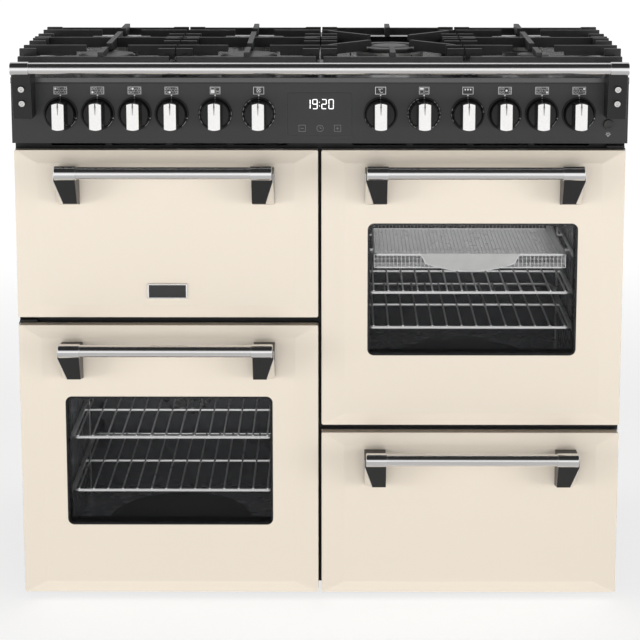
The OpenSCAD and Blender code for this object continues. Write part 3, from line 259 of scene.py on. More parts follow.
cream = surface(
    "cream_enamel", (0.86, 0.772, 0.652), 0.16,
    drift=(0.975, 0.35), gloss=(0.13, 0.2, 0.09), skin=(5 * mm, 0.012 * mm),
)
black = surface(
    "black_enamel", (0.012, 0.012, 0.013), 0.2,
    gloss=(0.16, 0.28, 0.05), skin=(4 * mm, 0.01 * mm), specular=0.25,
)
satin = surface("fascia_paint", (0.024, 0.024, 0.024), 0.4, drift=(0.9, 0.2), skin=(0.6 * mm, 0.01 * mm))
coat = surface(
    "powder_coat", (0.014, 0.014, 0.015), 0.5, gloss=(0.42, 0.58, 0.04), skin=(1.1 * mm, 0.04 * mm)
)
anthracite = surface(
    "bracket_paint", (0.014, 0.014, 0.014), 0.34,
    gloss=(0.3, 0.4, 8 * mm), skin=(0.8 * mm, 0.006 * mm), specular=0.35,
)
cavity = surface("oven_enamel", (0.075, 0.078, 0.083), 0.25, gloss=(0.2, 0.34, 0.03))
speckle(cavity, 260.0, 0.1, 0.22)
inner = surface("inner_enamel", (0.06, 0.06, 0.064), 0.22, skin=(6 * mm, 0.012 * mm))
speckle(inner, 320.0, 0.08, 0.3)
print("enamels and paints made")

# %% [markdown]
# ### Metals
# Tubes are ground round their axis, so their scratches run across X: the noise is squeezed along
# X and drawn out along Y and Z. Zinc-coated sheet shows large crystals, which a Voronoi texture
# gives. Cast iron has a matt enamel over a sandy skin.


# %% Metals
def ground_tube():
    finish = Finish("ground_tube", (0.78, 0.77, 0.77), 0.2, 1.0)
    grind = finish.cloud(0.5 * mm, (1, 0.03, 0.03), 3.0)
    finish.set("Roughness", grind * 0.14 + 0.12)
    finish.relief(grind, 0.004 * mm)
    return finish


def chrome_plate(name="chrome_plate", tone=0.78, low=0.03, high=0.1):
    return surface(name, (tone, tone, tone), low, 1.0, gloss=(low, high, 12 * mm))


def cast_iron():
    finish = Finish("cast_iron", (0.022, 0.022, 0.023), 0.5)
    sand = finish.cloud(0.9 * mm, detail=4.0)
    finish.set("Base Color", finish.blend(finish.colour, grey(0.045), finish.cloud(14 * mm)))
    finish.set("Roughness", sand * 0.3 + 0.34)
    finish.relief(sand, 0.09 * mm)
    return finish


def zinc_sheet():
    crystal = 9 * mm
    finish = Finish("zinc_sheet", (0.56, 0.57, 0.58), 0.34, 1.0)
    grain = {"Vector": finish.place, "Scale": 1 / crystal}
    cell = finish.add("ShaderNodeTexVoronoi", None, grain, out="Color")
    tone = finish.add("ShaderNodeSeparateColor", None, {0: cell})
    finish.set("Base Color", finish.blend(grey(0.46), grey(0.62), tone))
    finish.set("Roughness", tone * 0.18 + 0.28)
    return finish


steel = ground_tube()
chrome = chrome_plate()
wire_chrome = chrome_plate("wire_chrome", tone=0.78, low=0.24, high=0.34)
# Steel of the hob's front lip, darkened to tone 0.11: painted shade of the rail's shadow.
lip_steel = chrome_plate("lip_steel", tone=0.11, low=0.2, high=0.3)
grip_chrome = surface("satin_chrome", (0.82, 0.81, 0.8), 0.25, 1.0, gloss=(0.18, 0.3, 5 * mm))
iron = cast_iron()
cap_coat = surface(
    "cap_enamel", (0.035, 0.035, 0.036), 0.42, gloss=(0.34, 0.5, 9 * mm), skin=(1.5 * mm, 0.03 * mm)
)
alloy = surface(
    "blasted_alloy", (0.62, 0.62, 0.61), 0.38, 1.0, drift=(0.72, 18 * mm), skin=(0.7 * mm, 0.02 * mm)
)
brass = surface(
    "machined_brass", (0.66, 0.5, 0.26), 0.28, 1.0, drift=(0.8, 12 * mm), gloss=(0.2, 0.36, 2 * mm)
)
zinc = zinc_sheet()
sheath = surface(
    "sooty_sheath", (0.09, 0.085, 0.08), 0.5, 0.6, drift=(0.5, 10 * mm), gloss=(0.4, 0.62, 2 * mm)
)
print("metals made")

# %% [markdown]
# ### Plastics, rubber, ink and ceramic
# Small parts get their own finish too: the gloss black of the knobs, the dull silicone of the
# seals, white and grey printing ink and the glowing segments of the clock.


# %% Plastics, rubber, ink and ceramic
def gloss_plastic(name, tone, low, high, specular=None):
    gloss, skin = (low, high, 6 * mm), (3 * mm, 0.006 * mm)
    return surface(name, (tone, tone, tone), low, gloss=gloss, skin=skin, specular=specular)


def ink(name, tone, glow=0.0):
    finish = surface(name, (tone, tone, tone), 0.4, drift=(0.93, 2 * mm))
    if glow:
        finish.set("Emission Color", finish.blend(grey(1.0), grey(0.9), finish.cloud(1 * mm)))
        finish.set("Emission Strength", glow)
    return finish


knob_black = gloss_plastic("knob_black", tone=0.012, low=0.1, high=0.18, specular=0.25)
clock_black = gloss_plastic("clock_black", tone=0.016, low=0.06, high=0.12)
# Grey of the knobs' pointer groove, which is not cut: painted shade.
pointer_grey = gloss_plastic("pointer_grey", tone=0.3, low=0.2, high=0.3)
socket_black = gloss_plastic("socket_black", tone=0.02, low=0.35, high=0.5)
rubber = surface(
    "silicone", (0.03, 0.03, 0.031), 0.66, gloss=(0.58, 0.74, 3 * mm), skin=(1.2 * mm, 0.02 * mm)
)
white_ink = ink("white_ink", tone=0.85)
grey_ink = ink("grey_ink", tone=0.22)
rim_ink = ink("rim_ink", tone=0.42)
clock_glow = ink("clock_glow", tone=0.9, glow=1.0)
porcelain = surface("ceramic", (0.8, 0.79, 0.75), 0.3, drift=(0.9, 3 * mm))
print("plastics, rubber, ink and ceramic made")

# %% [markdown]
# ## Building forms
# Most pieces here are one of four forms: a loft through rounded rectangles, a turned profile,
# a block with eased edges or a tube along a path. `Shape` gathers such forms in one mesh and
# remembers which finish each face takes. Real edges are never perfectly sharp, and the small
# round on each one catches the light, so every form has it.


# %% Outlines and profiles
def rounded_outline(cx, cz, width, height, radius, y, per_corner=6):
    """Points of an upright rounded rectangle, anticlockwise as seen from the front."""
    points = []
    for turn, (sx, sz) in enumerate(((1, 1), (-1, 1), (-1, -1), (1, -1))):
        for step in range(per_corner + 1):
            angle = math.radians(90 * turn + 90 * step / per_corner)
            x = cx + sx * (width / 2 - radius) + radius * math.cos(angle)
            z = cz + sz * (height / 2 - radius) + radius * math.sin(angle)
            points.append(Vector((x, y, z)))
    return points


def polar(radius, degrees):
    """Point on a circle about the origin."""
    angle = math.radians(degrees)
    return radius * math.cos(angle), radius * math.sin(angle)


def eased(corners, steps=4):
    """Profile through corners (a, b, radius), with an arc of that radius in each corner."""
    points = []
    for i, (a, b, radius) in enumerate(corners):
        here = Vector((a, b))
        if radius <= 0 or i in (0, len(corners) - 1):
            points.append(here)
            continue
        before = (Vector(corners[i - 1][:2]) - here).normalized()
        after = (Vector(corners[i + 1][:2]) - here).normalized()
        half = before.angle(after) / 2
        reach = radius / math.tan(half)
        centre = here + (before + after).normalized() * radius / math.sin(half)
        start = (here + before * reach - centre).normalized()
        end = (here + after * reach - centre).normalized()
        points += [centre + start.slerp(end, step / steps) * radius for step in range(steps + 1)]
    return points


AXES = {
    "X": (Vector((0, 1, 0)), Vector((0, 0, 1)), Vector((1, 0, 0))),
    "Y": (Vector((0, 0, 1)), Vector((1, 0, 0)), Vector((0, 1, 0))),
    "Z": (Vector((1, 0, 0)), Vector((0, 1, 0)), Vector((0, 0, 1))),
}
print("outline helpers ready")


# %% Meshes and objects
def baked(part, name):
    """Mesh of a bmesh, which is freed."""
    data = bpy.data.meshes.new(name)
    part.to_mesh(data)
    part.free()
    return data


def placed(name, data):
    """Object of a mesh, a lamp or a camera, linked to the scene."""
    made = bpy.data.objects.new(name, data)
    bpy.context.scene.collection.objects.link(made)
    return made


def evaluated(holder):
    """Plain mesh of an object after its modifiers."""
    seen = holder.evaluated_get(bpy.context.evaluated_depsgraph_get())
    return bpy.data.meshes.new_from_object(seen)


def welded(part):
    """Merges the vertices of a bmesh that share a place."""
    bmesh.ops.remove_doubles(part, verts=part.verts[:], dist=1e-6)


def round_edges(part, edges, radius, clamp=False):
    """Small round on some edges of a bmesh."""
    bmesh.ops.bevel(
        part, geom=edges, offset=radius, segments=2, profile=0.5, affect="EDGES", clamp_overlap=clamp
    )


print("mesh helpers ready")


# %% Shape: forms gathered into one mesh


class Shape:
    """Faces of one piece, gathered in the cooker's own frame."""

    def __init__(self):
        self.mesh = bmesh.new()

    def faces_between(self, rings, finish):
        made = [[self.mesh.verts.new(p) for p in ring] for ring in rings]
        for near, far in zip(made, made[1:]):
            for i in range(len(near)):
                j = (i + 1) % len(near)
                quad = [near[i], far[i], far[j], near[j]]
                self.mesh.faces.new(quad).material_index = finish
        return made

    def loft(self, rings, finish=0, back=True):
        """Skin through rings of equal count, with flat ends."""
        made = self.faces_between(rings, finish)
        self.mesh.faces.new(made[0]).material_index = finish
        if back:
            self.mesh.faces.new(list(reversed(made[-1]))).material_index = finish

    def turned(self, profile, at, axis, steps, finish=0):
        """Solid of revolution of (radius, distance) points about an axis through at."""
        across, up, along = AXES[axis]
        made = []
        for radius, distance in profile:
            centre = Vector(at) + along * distance
            if radius < 1e-7:
                made.append([self.mesh.verts.new(centre)])
                continue
            ring = []
            for i in range(steps):
                angle = 2 * math.pi * i / steps
                spoke = across * math.cos(angle) + up * math.sin(angle)
                ring.append(self.mesh.verts.new(centre + spoke * radius))
            made.append(ring)
        for near, far in zip(made, made[1:]):
            for i in range(steps):
                j = (i + 1) % steps
                corners = [near[i % len(near)], far[i % len(far)], far[j % len(far)], near[j % len(near)]]
                distinct = list(dict.fromkeys(corners))
                if len(distinct) > 2:
                    self.mesh.faces.new(distinct).material_index = finish

    def include(self, part, finish):
        """Adds another bmesh. The finish is a slot, or a rule that gives a face its slot."""
        for face in part.faces:
            face.normal_update()
            face.material_index = finish(face) if callable(finish) else finish
        scratch = baked(part, "scratch")
        self.mesh.from_mesh(scratch)
        bpy.data.meshes.remove(scratch)

    def block(self, low, high, ease, finish=0):
        """Box between two corners, with eased edges."""
        low, high = Vector(low), Vector(high)
        part = bmesh.new()
        bmesh.ops.create_cube(part, size=1.0)
        bmesh.ops.scale(part, vec=high - low, verts=part.verts)
        if ease:
            round_edges(part, part.edges[:], ease)
        bmesh.ops.translate(part, vec=(low + high) / 2, verts=part.verts)
        self.include(part, finish)

    def wrapped(self, points, ease, finish=0):
        """Convex solid around points, with eased edges."""
        part = bmesh.new()
        for p in points:
            part.verts.new(p)
        bmesh.ops.convex_hull(part, input=part.verts[:])
        bmesh.ops.dissolve_limit(part, angle_limit=0.02, verts=part.verts[:], edges=part.edges[:])
        if ease:
            round_edges(part, part.edges[:], ease)
        self.include(part, finish)

    def tube(self, path, radius, finish=0, sides=10, closed=False):
        """Tube along points, with flat ends unless it is closed."""
        path = [Vector(p) for p in path]
        count = len(path)
        rings = []
        side = None
        for i, p in enumerate(path):
            after = path[(i + 1) % count] if closed or i < count - 1 else p
            before = path[i - 1] if closed or i else p
            along = (after - before).normalized()
            if side is None:
                side = along.orthogonal()
            side = (side - along * side.dot(along)).normalized()
            other = along.cross(side)
            angles = [2 * math.pi * k / sides for k in range(sides)]
            rings.append([p + (side * math.cos(a) + other * math.sin(a)) * radius for a in angles])
        if closed:
            self.faces_between(rings + [rings[0]], finish)
        else:
            self.loft(rings, finish)

    def data(self, name, flat=False):
        """Mesh of the shape, its faces turned outwards unless it is flat ink."""
        welded(self.mesh)
        if not flat:
            bmesh.ops.recalc_face_normals(self.mesh, faces=self.mesh.faces[:])
        return baked(self.mesh, name)

    def piece(self, name, body, finishes, sharp=32, flat=False):
        """The finished object, riding on a body."""
        return dressed(name, self.data(name, flat), body, finishes, sharp)


print("shapes ready")


# %% From a mesh to a piece that rides on its body
def dressed(name, data, body, finishes, sharp=32):
    """Object of a mesh with its finishes, smooth except at edges sharper than that angle."""
    for finish in finishes if isinstance(finishes, (list, tuple)) else [finishes]:
        data.materials.append(finish.material)
    data.shade_smooth()
    data.set_sharp_from_angle(angle=math.radians(sharp))
    made = placed(name, data)
    made.modifiers.new("flat_faces_stay_flat", "WEIGHTED_NORMAL").keep_sharp = True
    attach(made, body)
    return made


def takes_over(node, shape, finishes, name=None):
    """Piece of a shape that takes over from a CAD node."""
    made = shape.piece(name or node + "_dressed", home(node), finishes)
    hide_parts(node)
    return made


print("piece helpers ready")

# %% [markdown]
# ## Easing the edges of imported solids
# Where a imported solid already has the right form, a copy of it takes over: its loose triangles
# are merged, flat areas become single faces, and long sharp edges get a small round. Short edges
# belong to curves and small holes, so they are left as they are.


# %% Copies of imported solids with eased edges
def merged(node):
    """bmesh of a CAD node with its doubles merged and its flat areas joined."""
    part = bmesh.new()
    part.from_mesh(frame["nodes"][node].data)
    welded(part)
    flat = math.radians(0.5)
    bmesh.ops.dissolve_limit(part, angle_limit=flat, verts=part.verts[:], edges=part.edges[:])
    return part


def softened(node, finishes, ease, least, choose=None):
    """Piece that takes over from a CAD node, its sharp edges longer than least eased."""
    part = merged(node)
    edges = [
        e for e in part.edges
        if len(e.link_faces) == 2 and e.calc_length() > least and e.calc_face_angle(0) > 0.6
    ]
    round_edges(part, edges, ease, clamp=True)
    for face in part.faces:
        face.material_index = choose(face) if choose else 0
    name = node + "_eased"
    made = dressed(name, baked(part, name), home(node), finishes)
    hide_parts(node)
    return made


def coated(node, finish):
    """A CAD node that stays as it is and takes a finish."""
    data = frame["nodes"][node].data
    data.materials.clear()
    data.materials.append(finish.material)


print("easing helper ready")

# %% [markdown]
# ## Geometry Nodes for what repeats
# Rods, ports, screws and seals are one form laid along a line, a ring or a path. Each recipe is
# a small Geometry Nodes tree with named inputs, so one recipe serves every shelf and every
# burner. The tree ends in Realize Instances and Set Material, and its result is kept as a plain
# mesh.


# %% Recipe: a Geometry Nodes tree with named inputs
class Recipe(Graph):
    """Geometry Nodes tree that makes one mesh from its inputs."""

    def __init__(self, name, **inputs):
        super().__init__(bpy.data.node_groups.new(name, "GeometryNodeTree"))
        self.keys = {}
        for label, value in {**inputs, "finish": None}.items():
            kind = "Material" if value is None else "Int" if isinstance(value, int) else "Float"
            kind = "Vector" if isinstance(value, tuple) else kind
            face = self.tree.interface
            socket = face.new_socket(label, in_out="INPUT", socket_type="NodeSocket" + kind)
            if value is not None:
                socket.default_value = value
            self.keys[label] = socket.identifier
        self.tree.interface.new_socket("Geometry", in_out="OUTPUT", socket_type="NodeSocketGeometry")
        self.given = self.tree.nodes.new("NodeGroupInput")

    def input(self, label):
        return Wire(self, self.given.outputs[label])

    def section(self, sides):
        """Round section with the recipe's radius, for a tube."""
        return self.add(
            "GeometryNodeCurvePrimitiveCircle", {"mode": "RADIUS"},
            {"Resolution": sides, "Radius": self.input("radius")},
        )

    def end(self, geometry):
        """Realizes the instances, sets the finish and closes the tree."""
        solid = self.add("GeometryNodeRealizeInstances", None, {0: geometry})
        wanted = {"Geometry": solid, "Material": self.input("finish")}
        painted = self.add("GeometryNodeSetMaterial", None, wanted)
        self.add("NodeGroupOutput", None, {0: painted})
        return self

    def mesh(self, finish, **values):
        """Plain mesh of the tree's result."""
        holder = placed("holder", bpy.data.meshes.new("holder"))
        modifier = holder.modifiers.new("recipe", "NODES")
        modifier.node_group = self.tree
        for label, value in {**values, "finish": finish.material}.items():
            modifier[self.keys[label]] = value
        data = evaluated(holder)
        bpy.data.objects.remove(holder)
        return data


def joined_mesh(parts, name):
    """One mesh from several (mesh, place) pairs, all in the same finish."""
    whole = bmesh.new()
    for data, place in parts:
        data.transform(place)
        whole.from_mesh(data)
    return baked(whole, name)


print("recipe helper ready")


# %% Recipes: rods in a row and a ring of blocks
def rod_row():
    """Rods along Y, spaced evenly along X about the origin."""
    recipe = Recipe("rod_row", count=8, pitch=0.02, length=0.3, radius=0.002)
    rod = recipe.add(
        "GeometryNodeMeshCylinder", {"fill_type": "NGON"},
        {"Vertices": 10, "Radius": recipe.input("radius"), "Depth": recipe.input("length")},
    )
    lying = recipe.add("GeometryNodeTransform", None, {"Geometry": rod, "Rotation": (math.pi / 2, 0, 0)})
    pitch = recipe.input("pitch")
    start = (1 - recipe.input("count")) * pitch * 0.5
    first = recipe.add("ShaderNodeCombineXYZ", None, {0: start})
    step = recipe.add("ShaderNodeCombineXYZ", None, {0: pitch})
    places = {"Count": recipe.input("count"), "Start Location": first, "Offset": step}
    row = recipe.add("GeometryNodeMeshLine", {"mode": "OFFSET"}, places)
    laid = recipe.add("GeometryNodeInstanceOnPoints", None, {"Points": row, "Instance": lying})
    return recipe.end(laid)


def block_ring():
    """Small blocks in a ring about Z, each turned to face outwards."""
    recipe = Recipe("block_ring", count=36, radius=0.03, size=(0.002, 0.001, 0.004))
    tooth = recipe.add("GeometryNodeMeshCube", None, {"Size": recipe.input("size")})
    ring = recipe.add(
        "GeometryNodeMeshCircle", None,
        {"Vertices": recipe.input("count"), "Radius": recipe.input("radius")},
    )
    place = recipe.add("GeometryNodeInputPosition")
    facing = recipe.add("FunctionNodeAlignRotationToVector", {"axis": "X"}, {"Vector": place})
    laid = recipe.add(
        "GeometryNodeInstanceOnPoints", None, {"Points": ring, "Instance": tooth, "Rotation": facing}
    )
    return recipe.end(laid)


rods, teeth = rod_row(), block_ring()
print("rod and ring recipes ready")


# %% Recipes: a wire net and a bead round a rectangle
def wire_net():
    """Woven-looking flat net of round wires in the XY plane."""
    recipe = Recipe("wire_net", width=0.3, depth=0.3, across=20, along=20, radius=0.0006)
    grid = recipe.add(
        "GeometryNodeMeshGrid", None,
        {
            "Size X": recipe.input("width"), "Size Y": recipe.input("depth"),
            "Vertices X": recipe.input("across"), "Vertices Y": recipe.input("along"),
        },
    )
    lines = recipe.add("GeometryNodeMeshToCurve", None, {"Mesh": grid})
    wires = {"Curve": lines, "Profile Curve": recipe.section(5), "Fill Caps": True}
    return recipe.end(recipe.add("GeometryNodeCurveToMesh", None, wires))


def bead_loop():
    """Round bead along a rectangle with round corners, in the XY plane."""
    recipe = Recipe("bead_loop", width=0.4, height=0.3, corner=0.01, radius=0.003)
    frame_line = recipe.add(
        "GeometryNodeCurvePrimitiveQuadrilateral", {"mode": "RECTANGLE"},
        {"Width": recipe.input("width"), "Height": recipe.input("height")},
    )
    soft = recipe.add(
        "GeometryNodeFilletCurve", {"mode": "POLY"},
        {"Curve": frame_line, "Count": 8, "Radius": recipe.input("corner")},
    )
    tube = {"Curve": soft, "Profile Curve": recipe.section(12)}
    return recipe.end(recipe.add("GeometryNodeCurveToMesh", None, tube))


net, bead = wire_net(), bead_loop()
UPRIGHT = Matrix.Rotation(math.pi / 2, 4, "X")
print("net and bead recipes ready")

# %% [markdown]
# ## Fronts
# Every front is one steel sheet: folded back at its edges, pressed so that a border slopes up to
# a raised middle, and then enamelled in cream. The creases have the small radius of a press
# tool, and enamel rounds them a little more. The loft follows that section: it starts at the
# folded edge, climbs the border and ends in the middle or at the lip of the window. The grill
# door's lower fold has two notches, through which its hinge arms swing.


# %% Notches
def notched(data, blocks):
    """Copy of a closed mesh with some blocks taken away from it."""
    cutter = Shape()
    for low, high in blocks:
        cutter.block(low, high, ease=0)
    holders = [placed("holder", mesh) for mesh in (data, baked(cutter.mesh, "cutter"))]
    modifier = holders[0].modifiers.new("notches", "BOOLEAN")
    modifier.operation, modifier.solver, modifier.object = "DIFFERENCE", "EXACT", holders[1]
    cut = evaluated(holders[0])
    for holder in holders:
        bpy.data.objects.remove(holder)
    return cut


print("notch helper ready")

# %% Pressed fronts
border_w, border_h, rise, gauge = 38 * mm, 21 * mm, 5 * mm, 1.4 * mm
window_lap = 14 * mm


def pressed_front(node, glass=None, notches=()):
    """Enamelled sheet with a sloping border, and an opening where glass is a pane's node."""
    low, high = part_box(node)
    cx, cz = (low.x + high.x) / 2, (low.z + high.z) / 2
    depth = high.y - low.y

    def ring(inset, y):
        up = inset * border_h / border_w if inset < border_w else inset - border_w + border_h
        width, height = high.x - low.x - 2 * inset, high.z - low.z - 2 * up
        return rounded_outline(cx, cz, width, height, max(3 * mm - 0.05 * inset, mm), face_y + y)

    flat = border_w + 8 * mm
    section = eased([(0, depth, 0), (0, rise, 1.6 * mm), (border_w, 0, 22 * mm), (flat, 0, 0)], 5)
    outside = [ring(inset, y) for inset, y in section]
    inside = [ring(gauge, depth), ring(gauge, rise + gauge), ring(border_w, gauge), ring(flat, gauge)]
    shape = Shape()
    if glass:
        size = extent(glass)
        lip = []
        for grow, y in eased([(3 * mm, 0, 0), (0, 0, 1.1 * mm), (0, gauge, 0)], 4):
            width = size.x + 2 * (grow - window_lap)
            height = size.z + 2 * (grow - window_lap)
            lip.append(rounded_outline(cx, cz, width, height, 10 * mm + grow, face_y + y))
        rings = outside + lip + inside[::-1]
        shape.faces_between(rings + rings[:1], 0)
    else:
        shape.loft(outside[::-1] + inside)
    name = node + "_pressed"
    data = shape.data(name)
    if notches:
        data = notched(data, notches)
    made = dressed(name, data, home(node), cream, 40)
    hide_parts(node)
    print(made.name, len(made.data.polygons), "faces")


low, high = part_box("grill_oven_liner")
door_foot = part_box("grill_door_skin")[0].z
arm_inset, notch_half = 10 * mm, 6.5 * mm
notch_front, notch_back, notch_top = face_y + 10 * mm, face_y + 46 * mm, door_foot + 15 * mm
arm_notches = [
    ((x - notch_half, notch_front, door_foot - mm), (x + notch_half, notch_back, notch_top))
    for x in (low.x + arm_inset, high.x - arm_inset)
]
pressed_front("grill_door_skin", notches=arm_notches)
pressed_front("left_door_skin", "left_door_glass")
pressed_front("right_door_skin", "right_door_glass")
pressed_front("drawer_front")

# %% [markdown]
# ## Windows
# Each window has two panes of toughened glass. The outer one lies behind the sheet in a black
# sealing bead, and a printed black border hides the bead and fades towards the middle. The tint
# keeps the oven dark until its lamp is on. Alpha does this without refraction, so light still
# reaches the racks behind the glass.


# %% Panes and their beads
def tinted_glass(node):
    """Dark glass whose printed border is opaque."""
    centre, size = middle(node), extent(node)
    finish = Finish(node + "_tint", (0.006, 0.006, 0.007), 0.04)
    across = abs(finish.along(0) - centre.x) - (size.x / 2 - window_lap)
    upward = abs(finish.along(2) - centre.z) - (size.z / 2 - window_lap)
    border = finish.step(across.maths("MAXIMUM", upward), -4.5 * mm, -0.5 * mm)
    finish.set("Alpha", border * 0.9 + 0.1)
    finish.uneven_gloss(0.02, 0.06, 0.05)
    return finish


def glaze(node):
    """Two panes and the bead that seals the front one."""
    low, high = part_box(node)
    centre, size = (low + high) / 2, high - low
    shape = Shape()
    for near, far in ((low.y, low.y + 4 * mm), (high.y - 4 * mm, high.y)):
        edge = 0.5 * mm
        steps = ((edge, near), (0, near + edge), (0, far - edge), (edge, far))
        shape.loft([
            rounded_outline(centre.x, centre.z, size.x - 2 * e, size.z - 2 * e, 10 * mm - e, y)
            for e, y in steps
        ])
    panes = takes_over(node, shape, tinted_glass(node), node + "_panes")
    bead_path = rounded_outline(
        centre.x, centre.z, size.x - 2 * window_lap + mm, size.z - 2 * window_lap + mm, 10 * mm,
        low.y - 0.5 * mm,
    )
    gasket = Shape()
    gasket.tube(bead_path, radius=0.9 * mm, sides=8, closed=True)
    gasket.piece(node + "_gasket", home(node), rubber)
    print(panes.name, "and its gasket")


glaze("left_door_glass")
glaze("right_door_glass")

# %% [markdown]
# The back of each door is an enamelled pan that clamps the second pane and carries the hinge
# shoes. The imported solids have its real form, so their edges are only eased.

# %% Inner door panels and drawer box
for node in ("grill_door_liner", "left_door_liner", "right_door_liner"):
    softened(node, inner, ease=0.6 * mm, least=20 * mm)
softened("drawer_box", zinc, ease=0.4 * mm, least=30 * mm)
print("inner panels eased")

# %% [markdown]
# ## Handles
# A handle is a ground stainless tube in two chrome sleeves, and each sleeve lies in the saddle
# of a cast bracket. The bracket's inner side is upright and its outer side tapers downwards,
# where the paint is left off and the satin metal shows.


# %% Tubes, sleeves and handle brackets
def sleeved(shape, centre, half, tube_r, sleeve_r, sleeve_l):
    """Tube along X with an end sleeve at each end; the tube takes slot 0 and the sleeves 1."""
    end, mouth = half - 3 * mm, half - sleeve_l
    tube = eased([(0, -end, 0), (tube_r, -end, mm), (tube_r, end, mm), (0, end, 0)])
    shape.turned(tube, centre, "X", steps=56, finish=0)
    cup = [(0, half, 0), (sleeve_r, half, 2.2 * mm), (sleeve_r, mouth, 0.7 * mm), (tube_r, mouth, 0)]
    for side in (-1, 1):
        shape.turned([(r, side * x) for r, x in eased(cup)], centre, "X", steps=56, finish=1)


stand_off, below_top, bracket_lap = 62 * mm, 27.5 * mm, 2.25 * mm
bracket_w, bracket_h, saddle_h = 35.5 * mm, 61.5 * mm, 12.5 * mm


def dress_handle(node, front):
    """Handle of a front, its tube just below the front's top edge."""
    centre = Vector((middle(node).x, face_y - stand_off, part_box(front)[1].z - below_top))
    half = extent(node).x / 2 - bracket_lap
    grip = Shape()
    sleeved(grip, centre, half, tube_r=10.1 * mm, sleeve_r=11.55 * mm, sleeve_l=35 * mm)
    tube = takes_over(node, grip, [steel, chrome], node + "_tube")
    legs = Shape()
    for side in (-1, 1):
        outer = centre.x + side * (half + bracket_lap)
        inner_x = outer - side * bracket_w
        tip = outer - side * 12.5 * mm
        points = []
        for x in (outer, inner_x):
            for z in (centre.z, centre.z - saddle_h):
                points += [(x, centre.y, z), (x, face_y, z)]
            points += [(x, face_y, centre.z - bracket_h), (x, face_y - mm, centre.z - bracket_h)]
        for x in (tip, inner_x):
            points.append((x, centre.y + 22 * mm, centre.z - 53.5 * mm))

        def bare_outside(face, side=side):
            return 1 if face.normal.x * side > 0.25 and face.normal.y < -0.02 else 0

        legs.wrapped(points, ease=0.9 * mm, finish=bare_outside)
    brackets = legs.piece(node + "_brackets", home(node), [anthracite, grip_chrome])
    print(tube.name, brackets.name)


dress_handle("grill_door_handle", "grill_door_skin")
dress_handle("left_door_handle", "left_door_skin")
dress_handle("right_door_handle", "right_door_skin")
dress_handle("drawer_handle", "drawer_front")

# %% [markdown]
# ## Name plate
# A plated frame holds a dark plate on the grill door.

# %% Name plate
low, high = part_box("name_plate")
cx, cz, width, height = (low.x + high.x) / 2, (low.z + high.z) / 2, high.x - low.x, high.z - low.z
profile = eased([
    (0, high.y, 0), (0, low.y, 0.8 * mm), (2.4 * mm, low.y, 0.4 * mm), (2.4 * mm, low.y + 1.2 * mm, 0)
])
plate = Shape()
plate.loft([
    rounded_outline(cx, cz, width - 2 * inset, height - 2 * inset, max(2 * mm - inset, 0.6 * mm), y)
    for inset, y in profile
], back=False)
plate.block(
    (low.x + 2.2 * mm, low.y + 0.9 * mm, low.z + 2.2 * mm),
    (high.x - 2.2 * mm, low.y + 1.8 * mm, high.z - 2.2 * mm), ease=0.3 * mm, finish=1,
)
made = takes_over("name_plate", plate, [grip_chrome, clock_black], "name_plate_blank")
print(made.name, len(made.data.polygons), "faces")

# %% [markdown]
# ## Fascia
# The fascia is one folded sheet in a dark satin paint, with its ends in gloss black. It gets
# small rounds on its folds. Everything printed on it is a thin layer of ink that stands a tenth
# of a millimetre proud, drawn here from bars, arcs and discs.

# %% Fascia
softened(
    "fascia", [satin, coat], ease=0.7 * mm, least=40 * mm,
    choose=lambda face: 1 if abs(face.normal.x) > 0.7 else 0,
)
fascia_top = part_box("fascia")[1].z
knob_nodes = [
    "knob_rear_left", "knob_front_left", "knob_rear_centre", "knob_front_centre",
    "knob_left_oven", "knob_function", "knob_temperature", "knob_grill_oven", "knob_grill",
    "knob_wok", "knob_front_right", "knob_rear_right",
]
knob_z = middle("knob_grill").z
print("knobs at x", [round(middle(node).x, 4) for node in knob_nodes])

# %% [markdown]
# ## Knobs
# A moulded skirt in gloss black with a raised rim carries a grip. Its flanks are gloss black
# too, and its face is a chrome bar with straight sides and arched ends. The pointer is a dark
# slot at the top of the bar that runs out into a narrow grey groove. Neither is cut into the bar:
# both are flush inlays whose black and grey are painted shade.


# %% Twelve knobs
def arched_outline(x, z, width, height, y):
    """Upright bar whose ends bulge outwards, on a plane across Y."""
    w, h, bulge = width / 2 * mm, height / 2 * mm, 2.2 * mm
    spread = [i / 6 for i in range(-6, 7)]
    top = [(x - w * t, y, z + h - bulge * t * t) for t in spread]
    return top + [(x + w * t, y, z - h + bulge * t * t) for t in spread]


